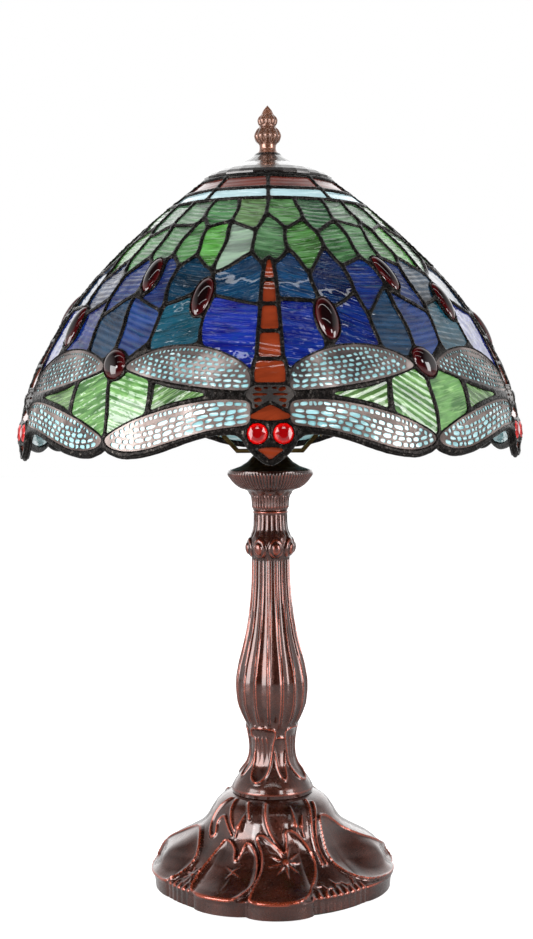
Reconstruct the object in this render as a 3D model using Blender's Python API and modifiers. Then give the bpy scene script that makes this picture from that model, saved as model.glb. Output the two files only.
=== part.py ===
"""Stained glass table lamp with a dragonfly shade, modelled as an assembly of separate pieces.

Frame: +Z up, origin at the centre of the felt under the base, -Y is the front of the lamp.
Lengths are in millimetres and are turned into metres by MM. Azimuths are in degrees from the
front, positive towards +X. The shade is a surface of revolution, and its leaded panels are
patches of it between an upper and a lower edge.
"""

import math

import bmesh
import bpy
from mathutils import Vector

MM = 0.001
GAP = 0.3  # clearance that touching pieces keep

# Driving dimensions
GLASS_THICKNESS = 3.0
SOLDER_GAP = 1.2  # width that the solder line takes between two panels
DRAGONFLIES = 5
SECTOR = 360.0 / DRAGONFLIES
PIPE_RADIUS = 4.9
PIPE_HOLE_RADIUS = 5.4
HARP_WIRE_RADIUS = 2.0
BASE_RADIUS = 94.0
PAD_DEPTH = 4.0  # how far a lily pad stands out past the base radius
HARP_ARM_TILT = 48.0
SADDLE_REACH = 26.5
SADDLE_HEIGHT = 355.5
SADDLE_THICKNESS = 3.2

# Outer surface of the shade as (height, radius), from the aperture down to the rim
SHADE_PROFILE = [
    (573, 51), (541, 91), (508, 126), (475.5, 155), (443, 176),
    (410, 192), (377, 200.5), (350, 201.5),
]

# Heights at which the shade changes from one zone of glass to the next
RED_TOP, RED_BOTTOM = 571.0, 559.5
AQUA_BOTTOM = 549.8
GREEN_BOTTOM = 498.0
HEAD_TIP = 353.0

# Edges of the dragonfly's wings as (azimuth from its body, height)
UPPER_WING_TOP = [(3.6, 413), (8, 423.5), (14, 431), (20, 434), (27, 431.5), (33, 421.5)]
UPPER_WING_LOW = [(3.6, 399), (13, 401.5), (22, 407.5), (30, 415), (33, 419)]
LOWER_WING_TOP = [(3.6, 395.5), (12.5, 393), (22, 385.5), (29.5, 376.5), (35.3, 366.5)]
LOWER_WING_LOW = [(3.6, 378), (8, 371), (13, 364), (20, 358.5), (28, 355.5), (33, 358), (35.3, 363.5)]
UPPER_WING_TIP, LOWER_WING_TIP = 33.0, 35.3
WING_ROOT = 3.6

# Half width of the dragonfly's body as (height, half width), head tip to tail tip
BODY_HALF_WIDTH = [
    (353, 2.0), (362, 11.5), (368, 14.5), (373, 13.0), (378, 10.5),
    (395, 9.5), (410, 9.8), (425, 9.2), (443, 8.0), (465, 6.2), (482, 4.8), (496.5, 2.5),
]

# Lily pads and grass fans round the base as (centre azimuth, half width)
LILY_PADS = [(3, 14), (-26, 15), (-80, 18), (70, 19), (105, 16), (163, 16), (194, 15), (248, 14)]


def reset_scene():
    """Removes what the file starts with and makes the two collections."""
    for obj in list(bpy.data.objects):
        bpy.data.objects.remove(obj)
    made = []
    for name in ("stained_glass_table_lamp", "cutters"):
        collection = bpy.data.collections.new(name)
        bpy.context.scene.collection.children.link(collection)
        made.append(collection)
    return made


LAMP, CUTTERS = reset_scene()


def make_material(name, color, roughness, metallic):
    material = bpy.data.materials.new(name)
    material.use_nodes = True
    shader = material.node_tree.nodes["Principled BSDF"]
    shader.inputs["Base Color"].default_value = (*color, 1.0)
    shader.inputs["Roughness"].default_value = roughness
    shader.inputs["Metallic"].default_value = metallic
    material.diffuse_color = (*color, 1.0)
    return material


BRONZE = make_material("antique_bronze", (0.10, 0.035, 0.025), 0.3, 0.6)
BRASS = make_material("aged_brass", (0.45, 0.30, 0.12), 0.35, 1.0)
STEEL = make_material("zinc_steel", (0.55, 0.55, 0.53), 0.35, 1.0)
FELT = make_material("green_felt", (0.03, 0.10, 0.05), 0.95, 0.0)
BLACK_PLASTIC = make_material("black_plastic", (0.02, 0.02, 0.02), 0.4, 0.0)
BULB_GLASS = make_material("frosted_glass", (0.92, 0.90, 0.85), 0.4, 0.0)
SOLDER = make_material("black_solder", (0.05, 0.05, 0.05), 0.3, 0.9)
RED_GLASS = make_material("rust_red_glass", (0.35, 0.06, 0.02), 0.15, 0.0)
AQUA_GLASS = make_material("aqua_glass", (0.45, 0.75, 0.78), 0.15, 0.0)
GREEN_GLASS = make_material("green_glass", (0.12, 0.40, 0.08), 0.15, 0.0)
BLUE_GLASS = make_material("blue_glass", (0.01, 0.04, 0.45), 0.15, 0.0)
WING_GLASS = make_material("wing_filigree_glass", (0.45, 0.60, 0.60), 0.25, 0.2)


# ---------------------------------------------------------------- general tools


def link_mesh(name, mesh, material, collection=LAMP):
    obj = bpy.data.objects.new(name, mesh)
    collection.objects.link(obj)
    if material:
        mesh.materials.clear()
        mesh.materials.append(material)
    return obj


def turned(name, profile, material, steps=24):
    """A closed outline of (radius, height) turned about the Z axis, outer side listed top to bottom."""
    bm = bmesh.new()
    points = [bm.verts.new((radius * MM, 0, height * MM)) for radius, height in profile]
    for start, end in zip(points, points[1:]):
        bm.edges.new((start, end))
    if profile[0][0] > 0 or profile[-1][0] > 0:
        bm.edges.new((points[-1], points[0]))
    mesh = bpy.data.meshes.new(name)
    bm.to_mesh(mesh)
    bm.free()
    obj = link_mesh(name, mesh, material)
    screw = obj.modifiers.new("turn", "SCREW")
    screw.axis = "Z"
    screw.steps = screw.render_steps = steps
    screw.use_merge_vertices = True
    screw.merge_threshold = 0.00002
    screw.use_smooth_shade = True
    return obj


def as_mesh(obj):
    """The object's evaluated mesh as a new object of the same name, with the curve or modifiers gone."""
    bpy.context.view_layer.update()
    graph = bpy.context.evaluated_depsgraph_get()
    mesh = bpy.data.meshes.new_from_object(obj.evaluated_get(graph))
    bm = bmesh.new()
    bm.from_mesh(mesh)
    bmesh.ops.remove_doubles(bm, verts=bm.verts, dist=0.00001)
    bm.to_mesh(mesh)
    bm.free()
    name, matrix, material = obj.name, obj.matrix_world.copy(), obj.data.materials[0]
    bpy.data.objects.remove(obj)
    made = link_mesh(name, mesh, material)
    made.matrix_world = matrix
    return made


def cylinder(name, radius, depth, centre, direction=(0, 0, 1), sides=16, cutter=True, material=None):
    bm = bmesh.new()
    bmesh.ops.create_cone(
        bm, cap_ends=True, segments=sides,
        radius1=radius * MM, radius2=radius * MM, depth=depth * MM,
    )
    mesh = bpy.data.meshes.new(name)
    bm.to_mesh(mesh)
    bm.free()
    obj = link_mesh(name, mesh, material, CUTTERS if cutter else LAMP)
    obj.rotation_euler = Vector(direction).to_track_quat("Z", "Y").to_euler()
    obj.location = Vector(centre) * MM
    if cutter:
        as_helper(obj)
    return obj


def as_helper(obj):
    obj.hide_render = True
    obj.display_type = "WIRE"


def boolean(obj, other, operation):
    modifier = obj.modifiers.new(operation.lower(), "BOOLEAN")
    modifier.operation = operation
    modifier.object = other


def smooth_curve(points, steps):
    """Points of a Catmull-Rom curve through the given points, with that many steps in each stretch."""
    knots = [Vector(p) for p in points]
    knots = [2 * knots[0] - knots[1]] + knots + [2 * knots[-1] - knots[-2]]
    curve = []
    for a, b, c, d in zip(knots, knots[1:], knots[2:], knots[3:]):
        for i in range(steps):
            t = i / steps
            curve.append(
                0.5 * (2 * b + (c - a) * t + (2 * a - 5 * b + 4 * c - d) * t * t
                       + (3 * b - a - 3 * c + d) * t ** 3)
            )
    curve.append(knots[-2])
    return curve


def lookup(table, x):
    """Straight-line reading of a table of (x, y) that rises in x."""
    if x <= table[0][0]:
        return table[0][1]
    for (x0, y0), (x1, y1) in zip(table, table[1:]):
        if x <= x1:
            return y0 + (y1 - y0) * (x - x0) / (x1 - x0)
    return table[-1][1]


# ---------------------------------------------------------------- base and column


def pad_reach(azimuth):
    """How far the base's outline stands out at this azimuth, from 0 to 1 in the middle of a pad."""
    reach = 0.0
    for centre, half in LILY_PADS:
        away = (azimuth - centre + 180) % 360 - 180
        if abs(away) < half:
            reach = max(reach, math.sqrt(1 - (away / half) ** 2))
    return reach


def base_casting():
    profile = [
        (33, 75.7), (41.5, 72.2), (45.5, 68.8), (50, 62), (56, 49.5), (62, 40), (71, 30), (82, 22),
        (BASE_RADIUS - 2, 15.5), (BASE_RADIUS, 12.5), (BASE_RADIUS, 1.8), (BASE_RADIUS - 4, 1.8),
        (BASE_RADIUS - 4.5, 9.5), (79, 18), (67, 26.5), (58, 37.5), (51, 50), (44, 61.5), (36, 68.5),
        (28, 71.8), (PIPE_HOLE_RADIUS, 71.8), (PIPE_HOLE_RADIUS, 75.7),
    ]
    obj = as_mesh(turned("base_casting", profile, BRONZE, steps=50))
    for vertex in obj.data.vertices:
        azimuth = math.degrees(math.atan2(vertex.co.x, -vertex.co.y))
        radius = math.hypot(vertex.co.x, vertex.co.y)
        share = min(1.0, max(0.0, (radius / MM - 58) / (BASE_RADIUS - 58)))
        grown = radius + PAD_DEPTH * MM * pad_reach(azimuth) * share
        vertex.co.x *= grown / radius
        vertex.co.y *= grown / radius
    hole = cylinder("cord_hole_cutter", 4.9, 40, (0, 88, 8.2), (0, 1, 0))
    boolean(obj, hole, "DIFFERENCE")


def cord_bushing():
    """Plastic grommet in the base's rear rim, turned about the Y axis."""
    outline = [(3.2, 5.5), (6.2, 5.5), (6.2, 3.5), (4.5, 3.5), (4.5, -6), (3.2, -6)]
    obj = turned("cord_bushing", outline, BLACK_PLASTIC, steps=16)
    obj.rotation_euler = (math.radians(-90), 0, 0)
    obj.location = (0, 95.5 * MM, 8.2 * MM)


def felt_pad():
    turned("felt_pad", [(0, 1.5), (91, 1.5), (91, 0), (0, 0)], FELT, steps=48)


def column():
    """Thick cast column with a plain bore that clears the lamp pipe."""
    outer = [
        (13.6, 306.8), (13.6, 297), (14.5, 290.5), (17.8, 284), (20.2, 277.4), (19, 273.5),
        (15.4, 268.5), (15.8, 248), (16.8, 234), (18.4, 221), (20.6, 207), (23.4, 195), (27, 181.5),
        (29.3, 169), (29.4, 160), (28.2, 149), (25.8, 142), (22.6, 135), (19.4, 128.5), (17.6, 119),
        (17.1, 112), (17.8, 105), (20, 99), (22.8, 95.5), (27.6, 89.5), (31.4, 84), (33, 80.5),
        (33, 76.2),
    ]
    inner = [(8.0, 76.2), (8.0, 294), (6.2, 300), (6.2, 306.8)]
    turned("column", outer + inner, BRONZE, steps=20)


def upper_cup():
    outer = [
        (34.3, 340), (34.3, 337.4), (26, 329.6), (22, 326.2), (17.6, 322.8), (15, 319.6), (14.3, 313),
        (14.1, 307.1),
    ]
    inner = [
        (6.2, 307.1), (6.2, 319), (12, 323), (22, 329), (30.8, 338.2), (32.9, 338.2), (32.9, 340),
    ]
    turned("upper_cup", outer + inner, BRONZE, steps=24)


def cup_cover():
    """Spun brass trumpet that closes the cup under the harp saddle."""
    outer = [(12.8, 353.4), (14, 351.4), (18.6, 346.4), (24.4, 342.8), (32.4, 340), (32.4, 338.6)]
    inner = [(30.8, 338.6), (23.6, 341.2), (17.4, 344.8), (12.6, 350.2), (11, 351.8),
             (PIPE_HOLE_RADIUS, 351.8), (PIPE_HOLE_RADIUS, 353.4)]
    turned("cup_cover", outer + inner, BRASS, steps=24)


# ---------------------------------------------------------------- pipe, nuts and socket


def lamp_pipe():
    outline = [(PIPE_RADIUS, 364), (PIPE_RADIUS, 58), (3.6, 58), (3.6, 364)]
    turned("lamp_pipe", outline, STEEL, steps=16)


def pipe_fasteners():
    washer = [(15, 71.4), (15, 69.6), (PIPE_HOLE_RADIUS, 69.6), (PIPE_HOLE_RADIUS, 71.4)]
    turned("pipe_washer", washer, STEEL, steps=24)
    nut = cylinder("pipe_nut", 8.5, 6, (0, 0, 66.2), sides=6, cutter=False, material=STEEL)
    bore = cylinder("nut_bore_cutter", PIPE_RADIUS + GAP, 12, (0, 0, 66.2))
    boolean(nut, bore, "DIFFERENCE")


def socket_cap():
    outer = [(17, 382), (16, 375), (12, 369.5), (7.5, 366), (7.5, 357.5)]
    inner = [(PIPE_HOLE_RADIUS, 357.5), (PIPE_HOLE_RADIUS, 368), (11, 371.2), (14.6, 376), (15.6, 382)]
    turned("socket_cap", outer + inner, BRASS, steps=24)


def socket_shell():
    outer = [(16.8, 421), (16.8, 382.4), (6, 382.4), (6, 384.4), (15.3, 384.4), (15.3, 421)]
    obj = turned("socket_shell", outer, BRASS, steps=24)
    boolean(obj, cylinder("key_hole_cutter", 3.6, 12, (0, -16, 390.5), (0, 1, 0)), "DIFFERENCE")


def switch_key():
    """Rotary switch's stem along Y, with a flat finger paddle on its outer end."""
    stem = cylinder(
        "switch_key", 3.2, 15, (0, -19, 390.5), (0, 1, 0), sides=12, cutter=False,
        material=BLACK_PLASTIC,
    )
    bm = bmesh.new()
    bmesh.ops.create_cube(bm, size=1.0)
    bmesh.ops.scale(bm, vec=Vector((15, 9, 3.4)) * MM, verts=bm.verts)
    mesh = bpy.data.meshes.new("paddle_cutter")
    bm.to_mesh(mesh)
    bm.free()
    paddle = link_mesh("paddle_cutter", mesh, None, CUTTERS)
    paddle.location = Vector((0, -29.5, 390.5)) * MM
    as_helper(paddle)
    bevel = paddle.modifiers.new("round", "BEVEL")
    bevel.width = 1.2 * MM
    bevel.segments = 1
    boolean(stem, paddle, "UNION")


def bulb():
    base = [(12.6, 424), (13, 421), (13, 400), (9, 397), (4, 395), (0, 395)]
    turned("bulb_base", [(0, 424)] + base, STEEL, steps=20)
    glass = [
        (0, 507), (12, 504.5), (22, 497.5), (28.5, 487), (30, 475), (27.5, 461), (21, 446),
        (15.5, 434), (13.4, 424.4), (0, 424.4),
    ]
    turned("bulb_glass", glass, BULB_GLASS, steps=20)


# ---------------------------------------------------------------- harp


def arm_point(along, across=0.0, side=1):
    """A point in the XZ plane, measured along the saddle's tilted arm from its bend."""
    tilt = math.radians(HARP_ARM_TILT)
    x = SADDLE_REACH + along * math.cos(tilt) - across * math.sin(tilt)
    return side * x, SADDLE_HEIGHT + along * math.sin(tilt) + across * math.cos(tilt)


def bent_strip(name, arm_length, half_width, material):
    """A strip in the shape of a shallow tray seen from the front, as an extruded flat outline."""
    half = SADDLE_THICKNESS / 2
    bend = half * math.tan(math.radians(HARP_ARM_TILT / 2))
    right_upper = [(SADDLE_REACH - bend, SADDLE_HEIGHT + half), arm_point(arm_length, half)]
    right_lower = [arm_point(arm_length, -half), (SADDLE_REACH + bend, SADDLE_HEIGHT - half)]
    right = right_upper + right_lower
    outline = right + [(-x, z) for x, z in reversed(right)]
    curve = bpy.data.curves.new(name, "CURVE")
    curve.dimensions = "2D"
    curve.fill_mode = "BOTH"
    curve.extrude = half_width * MM
    spline = curve.splines.new("POLY")
    spline.points.add(len(outline) - 1)
    for point, (x, z) in zip(spline.points, outline):
        point.co = (x * MM, z * MM, 0, 1)
    spline.use_cyclic_u = True
    obj = link_mesh(name, curve, material)
    obj.rotation_euler = (math.radians(90), 0, 0)
    return as_mesh(obj)


def harp_saddle():
    strip = bent_strip("harp_saddle", 17, 8.0, BRASS)
    tongue = bent_strip("saddle_tongues", 25, 1.9, BRASS)
    LAMP.objects.unlink(tongue)
    CUTTERS.objects.link(tongue)
    as_helper(tongue)
    boolean(strip, tongue, "UNION")
    boolean(strip, cylinder("saddle_hole_cutter", PIPE_HOLE_RADIUS, 12, (0, 0, SADDLE_HEIGHT)), "DIFFERENCE")


def harp_bow():
    """The bent wire that carries the shade, with the crimped crown on its top."""
    start, straight_end = arm_point(25.4), arm_point(46)
    half = [start, straight_end, (64.5, 412), (65.5, 440), (62.5, 480), (54, 520), (39, 552), (18, 576.5)]
    knots = [(x, 0, z) for x, z in half] + [(0, 0, 585)] + [(-x, 0, z) for x, z in reversed(half)]
    curve = bpy.data.curves.new("harp_bow", "CURVE")
    curve.dimensions = "3D"
    curve.bevel_depth = HARP_WIRE_RADIUS * MM
    curve.bevel_resolution = 1
    curve.use_fill_caps = True
    path = smooth_curve(knots[1:-1], 2)
    path = [Vector(knots[0])] + path + [Vector(knots[-1])]
    spline = curve.splines.new("POLY")
    spline.points.add(len(path) - 1)
    for point, co in zip(spline.points, path):
        point.co = (*(co * MM), 1)
    wire = as_mesh(link_mesh("harp_bow", curve, BRASS))
    boolean(wire, cylinder("crown_form", 5.5, 7, (0, 0, 585), sides=12), "UNION")
    boolean(wire, cylinder("crown_bore_cutter", 2.6, 8, (0, 0, 588.2), sides=12), "DIFFERENCE")


def harp_stud():
    outline = [
        (0, 604.5), (2.9, 604.5), (2.9, 591.6), (7.5, 591.6), (7.5, 588.9), (2.2, 588.9), (2.2, 584.6),
        (0, 584.6),
    ]
    turned("harp_stud", outline, BRASS, steps=16)


def ferrules():
    """Locking sleeves that slide up the harp's legs to free them from the saddle."""
    for name, side in (("ferrule_right", 1), ("ferrule_left", -1)):
        outline = [(3.9, 6), (3.9, -6), (2.8, -6), (2.8, 6)]
        obj = turned(name, outline, BRASS, steps=16)
        x, z = arm_point(24.5, 0, side)
        obj.location = (x * MM, 0, z * MM)
        obj.rotation_euler = (0, side * math.radians(90 - HARP_ARM_TILT), 0)


# ---------------------------------------------------------------- cap and finial


def vented_cap():
    outer = [
        (3.4, 596), (10.5, 596), (12.7, 593.7), (18.5, 590.4), (24.6, 587), (34.4, 583.8),
        (43.5, 580.6), (49.5, 577.5), (52.6, 575), (52.6, 573.6),
    ]
    inner = [(46, 573.6), (43, 578.2), (34, 581.6), (24, 584.8), (17, 588.4), (11, 592), (3.4, 592)]
    obj = turned("vented_cap", outer + inner, BRONZE, steps=28)
    vents = 10
    for i in range(vents):
        turn = 2 * math.pi * (i + 0.5) / vents
        centre = (26 * math.sin(turn), -26 * math.cos(turn), 586)
        boolean(obj, cylinder(f"vent_cutter_{i}", 2.5, 14, centre, sides=6), "DIFFERENCE")


def finial():
    outline = [
        (0, 635), (2.2, 632.5), (5.4, 626.5), (7.6, 621.5), (8.8, 617.5), (6.9, 613.6), (9.2, 609.5),
        (11.2, 604.5), (9.8, 600.8), (7.2, 598.6), (6.8, 597.4), (9.2, 596.3), (3.3, 596.3),
        (3.3, 606), (0, 606),
    ]
    turned("finial", outline, BRONZE, steps=20)


# ---------------------------------------------------------------- leaded glass shade


def profile_slopes(table):
    """Slope of the smooth curve at each of its points, as a mean of the two neighbouring chords."""
    chords = [(r1 - r0) / (z1 - z0) for (z0, r0), (z1, r1) in zip(table, table[1:])]
    inner = [(a + b) / 2 for a, b in zip(chords, chords[1:])]
    return [chords[0]] + inner + [chords[-1]]


RISING_PROFILE = SHADE_PROFILE[::-1]
PROFILE_SLOPES = profile_slopes(RISING_PROFILE)


def shade_radius(z):
    """Outer radius of the shade and its slope dr/dz at height z, as a cubic curve through the profile."""
    rows = list(zip(RISING_PROFILE, PROFILE_SLOPES))
    for ((z0, r0), m0), ((z1, r1), m1) in zip(rows, rows[1:]):
        if z <= z1 or z1 == RISING_PROFILE[-1][0]:
            h = z1 - z0
            t = (z - z0) / h
            radius = (
                r0 * (2 * t ** 3 - 3 * t ** 2 + 1) + m0 * h * (t ** 3 - 2 * t ** 2 + t)
                + r1 * (3 * t ** 2 - 2 * t ** 3) + m1 * h * (t ** 3 - t ** 2)
            )
            slope = (
                r0 * (6 * t ** 2 - 6 * t) / h + m0 * (3 * t ** 2 - 4 * t + 1)
                + r1 * (6 * t - 6 * t ** 2) / h + m1 * (3 * t ** 2 - 2 * t)
            )
            return radius, slope
    return RISING_PROFILE[-1][1], 0.0


def shade_ring_point(z, depth):
    """(radius, height) at this depth under the shade's outer surface."""
    radius, slope = shade_radius(z)
    length = math.hypot(1, slope)
    return radius - depth / length, z + depth * slope / length


def glass_ring(name, top, bottom, stretches, material):
    """A full band of the shade between two heights."""
    heights = [top + (bottom - top) * i / stretches for i in range(stretches + 1)]
    outer = [shade_ring_point(z, 0) for z in heights]
    inner = [shade_ring_point(z, GLASS_THICKNESS) for z in reversed(heights)]
    turned(name, outer + inner, material, steps=40)


def shade_point(azimuth, z):
    """Point in the middle of the glass at this azimuth and height."""
    radius, height = shade_ring_point(z, GLASS_THICKNESS / 2)
    turn = math.radians(azimuth)
    return Vector((radius * math.sin(turn), -radius * math.cos(turn), height)) * MM


def glass_patch(name, columns, rows, place, material):
    """A panel of the shade: a grid whose (u, v), each from 0 to 1, is put at place(u, v), made solid."""
    bm = bmesh.new()
    bmesh.ops.create_grid(bm, x_segments=columns, y_segments=rows, size=0.5)
    for vertex in bm.verts:
        vertex.co = shade_point(*place(vertex.co.x + 0.5, vertex.co.y + 0.5))
    bmesh.ops.recalc_face_normals(bm, faces=bm.faces)
    mesh = bpy.data.meshes.new(name)
    bm.to_mesh(mesh)
    bm.free()
    mesh.shade_smooth()
    obj = link_mesh(name, mesh, material)
    solid = obj.modifiers.new("thickness", "SOLIDIFY")
    solid.thickness = GLASS_THICKNESS * MM
    solid.offset = 0.0
    return obj


def between(low, high, share):
    return low + (high - low) * share


def body_edge(z):
    """Azimuth of the body's edge from its centre line."""
    return math.degrees(lookup(BODY_HALF_WIDTH, z) / shade_radius(z)[0])


def body_panel(name, centre):
    def place(u, v):
        z = between(HEAD_TIP, GREEN_BOTTOM - SOLDER_GAP - 0.5, v)
        return centre + (2 * u - 1) * body_edge(z), z

    glass_patch(name, 2, 14, place, RED_GLASS)


def wing_panel(name, centre, side, upper, lower, tip):
    def place(u, v):
        away = between(WING_ROOT, tip, u)
        low, high = lookup(lower, away), lookup(upper, away)
        middle, half = (low + high) / 2, max((high - low) / 2, 1.0)
        return centre + side * away, middle + (2 * v - 1) * half

    glass_patch(name, 8, 2, place, WING_GLASS)


def blue_panel(name, start):
    """The blue glass between two dragonflies' bodies, over their upper wings."""
    def place(u, v):
        away = SECTOR * u
        top = GREEN_BOTTOM - SOLDER_GAP
        for _ in range(4):
            near = min(away, SECTOR - away)
            bottom = lookup(UPPER_WING_TOP, near) + 1.5 * SOLDER_GAP
            z = between(bottom, top, v)
            edge = body_edge(z) + math.degrees(SOLDER_GAP / shade_radius(z)[0])
            away = between(edge, SECTOR - edge, u)
        return start + away, z

    glass_patch(name, 14, 4, place, BLUE_GLASS)


def leaf_panel(name, start):
    """The green glass between the wing tips of two neighbouring dragonflies."""
    first = 11.0

    def place(u, v):
        away = between(first, SECTOR - first, u)
        near = min(away, SECTOR - away)
        low = lookup(LOWER_WING_TOP, near) + 1.5 * SOLDER_GAP
        high = lookup(UPPER_WING_LOW, near) - 1.5 * SOLDER_GAP
        return start + away, between(low, max(high, low + 2), v)

    glass_patch(name, 14, 2, place, GREEN_GLASS)


def shade():
    turned(
        "shade_top_ring", [(50.4, 573.2), (50.4, 567.5), (46.5, 567.5), (46.5, 573.2)], SOLDER, steps=40
    )
    glass_ring("crown_band_red", RED_TOP, RED_BOTTOM, 1, RED_GLASS)
    glass_ring("crown_band_aqua", RED_BOTTOM - SOLDER_GAP, AQUA_BOTTOM, 1, AQUA_GLASS)
    glass_ring("green_field", AQUA_BOTTOM - SOLDER_GAP, GREEN_BOTTOM, 4, GREEN_GLASS)
    for i in range(DRAGONFLIES):
        centre = i * SECTOR
        number = i + 1
        body_panel(f"dragonfly_{number}_body", centre)
        for word, side in (("left", -1), ("right", 1)):
            wing_panel(f"dragonfly_{number}_upper_wing_{word}", centre, side,
                       UPPER_WING_TOP, UPPER_WING_LOW, UPPER_WING_TIP)
            wing_panel(f"dragonfly_{number}_lower_wing_{word}", centre, side,
                       LOWER_WING_TOP, LOWER_WING_LOW, LOWER_WING_TIP)
        blue_panel(f"blue_field_{number}", centre)
        leaf_panel(f"leaf_gusset_{number}", centre)


def main():
    felt_pad()
    base_casting()
    cord_bushing()
    column()
    upper_cup()
    cup_cover()
    lamp_pipe()
    pipe_fasteners()
    harp_saddle()
    ferrules()
    harp_bow()
    harp_stud()
    socket_cap()
    socket_shell()
    switch_key()
    bulb()
    vented_cap()
    finial()
    shade()


main()
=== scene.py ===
"""Looks of the stained glass table lamp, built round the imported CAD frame.

Lengths below are millimetres unless a name says otherwise, and MM turns them into metres.
The shade is drawn on a chart of its own: an azimuth in radians from the front, positive towards +X,
and a depth that grows down the shade so that the chart keeps shapes (one unit each way is one
radius of the shade there). Every leaded piece is an outline on that chart.
"""

import math

import bpy
import numpy as np
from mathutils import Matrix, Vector, geometry, kdtree, noise


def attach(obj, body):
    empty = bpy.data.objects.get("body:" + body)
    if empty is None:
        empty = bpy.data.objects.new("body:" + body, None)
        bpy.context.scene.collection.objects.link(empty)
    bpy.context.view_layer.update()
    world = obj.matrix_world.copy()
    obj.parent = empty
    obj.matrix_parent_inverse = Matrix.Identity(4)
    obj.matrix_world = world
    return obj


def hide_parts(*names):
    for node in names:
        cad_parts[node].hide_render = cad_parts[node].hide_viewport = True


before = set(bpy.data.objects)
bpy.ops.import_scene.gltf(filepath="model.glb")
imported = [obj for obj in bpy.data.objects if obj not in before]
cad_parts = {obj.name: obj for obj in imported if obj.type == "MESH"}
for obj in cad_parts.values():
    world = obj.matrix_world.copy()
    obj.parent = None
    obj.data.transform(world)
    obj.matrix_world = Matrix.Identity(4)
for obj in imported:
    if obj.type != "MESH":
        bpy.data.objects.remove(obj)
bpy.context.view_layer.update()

MM = 0.001
RNG = np.random.default_rng(5)

# ---------------------------------------------------------------- shade: its surface and its chart

DRAGONFLIES = 5
SECTOR = 2 * math.pi / DRAGONFLIES
GLASS = 3.0  # thickness of the glass

# Outer surface of the shade as (height, radius), from the rim up to the aperture
PROFILE = np.array([
    (350, 201.5), (377, 200.5), (410, 192), (443, 176), (475.5, 155), (508, 126), (541, 91), (573, 51),
], float)
KNOT_Z, KNOT_R = PROFILE.T
CHORDS = np.diff(KNOT_R) / np.diff(KNOT_Z)
KNOT_SLOPE = np.concatenate([CHORDS[:1], (CHORDS[:-1] + CHORDS[1:]) / 2, CHORDS[-1:]])


def radius_at(z):
    """Outer radius of the shade at a height, on the same cubic curve as the CAD shade."""
    z = np.asarray(z, float)
    i = np.clip(np.searchsorted(KNOT_Z, z) - 1, 0, len(KNOT_Z) - 2)
    h = KNOT_Z[i + 1] - KNOT_Z[i]
    t = (z - KNOT_Z[i]) / h
    rise = KNOT_R[i] * (2 * t**3 - 3 * t**2 + 1) + KNOT_R[i + 1] * (3 * t**2 - 2 * t**3)
    return rise + h * (KNOT_SLOPE[i] * (t**3 - 2 * t**2 + t) + KNOT_SLOPE[i + 1] * (t**3 - t**2))


HEIGHTS = np.linspace(574, 346, 1200)
RADII = radius_at(HEIGHTS)
SLOPES = np.gradient(RADII, HEIGHTS)
STEPS = np.hypot(np.diff(HEIGHTS), np.diff(RADII)) / ((RADII[1:] + RADII[:-1]) / 2)
DEPTHS = np.concatenate([[0.0], np.cumsum(STEPS)])


def depth_of(z):
    return np.interp(-np.asarray(z, float), -HEIGHTS, DEPTHS)


def radius_on(depth):
    return np.interp(depth, DEPTHS, RADII)


def on_chart(points):
    """Chart points of a list of (azimuth in degrees, height)."""
    table = np.array(points, float).reshape(-1, 2)
    return np.stack([np.radians(table[:, 0]), depth_of(table[:, 1])], axis=1)


def on_shade(chart, out):
    """Points in space, in metres, of chart points that stand out mm proud of the outer surface."""
    depth = chart[:, 1]
    z, radius, slope = (np.interp(depth, DEPTHS, column) for column in (HEIGHTS, RADII, SLOPES))
    length = np.hypot(1, slope)
    reach = radius + out / length
    return MM * np.stack(
        [reach * np.sin(chart[:, 0]), -reach * np.cos(chart[:, 0]), z - out * slope / length], axis=1
    )


def wrapped(turn, whole=2 * math.pi):
    """The turn brought between minus half and half of a whole one."""
    return (turn + whole / 2) % whole - whole / 2


class Patch:
    """A flat drawing board in mm that touches the shade's chart at one point, x to the right and y up."""

    def __init__(self, azimuth, depth):
        self.azimuth, self.depth = azimuth, depth
        self.scale = float(radius_on(depth))

    def to_chart(self, flat):
        x, y = flat[..., 0] / self.scale, flat[..., 1] / self.scale
        return np.stack([self.azimuth + x, self.depth - y], -1)

    def from_chart(self, chart):
        turn = wrapped(chart[..., 0] - self.azimuth)
        return np.stack([turn * self.scale, (self.depth - chart[..., 1]) * self.scale], -1)


def annulus(chart):
    """The whole chart on one plane, as rings about a point, which joins azimuth -180 to 180."""
    reach = np.exp(chart[:, 1])
    return np.stack([reach * np.sin(chart[:, 0]), -reach * np.cos(chart[:, 0])], axis=1)


def from_annulus(points):
    return np.stack(
        [np.arctan2(points[:, 0], -points[:, 1]), np.log(np.hypot(points[:, 0], points[:, 1]))], axis=1
    )


# ---------------------------------------------------------------- mesh tools


def make_object(name, verts, faces, material, smooth=True, attributes=()):
    """A mesh object. An attribute is (name, type, one row for each vertex)."""
    mesh = bpy.data.meshes.new(name)
    mesh.from_pydata(np.asarray(verts).tolist(), [], [list(map(int, f)) for f in faces])
    mesh.materials.append(material)
    for label, kind, rows in attributes:
        layer = mesh.attributes.new(label, kind, "POINT")
        field = {"FLOAT": "value", "FLOAT_VECTOR": "vector", "FLOAT_COLOR": "color"}[kind]
        layer.data.foreach_set(field, np.asarray(rows, np.float32).ravel())
    mesh.polygons.foreach_set("use_smooth", [smooth] * len(mesh.polygons))
    mesh.update()
    obj = bpy.data.objects.new(name, mesh)
    bpy.context.scene.collection.objects.link(obj)
    return obj


def finish_piece(obj, body, replaced=None, sharp=None):
    """Puts a finished piece on its body and the CAD node that it stands for."""
    if sharp is not None:
        obj.data.set_sharp_from_angle(angle=math.radians(sharp))
    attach(obj, body)
    if replaced:
        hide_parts(replaced)


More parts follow.
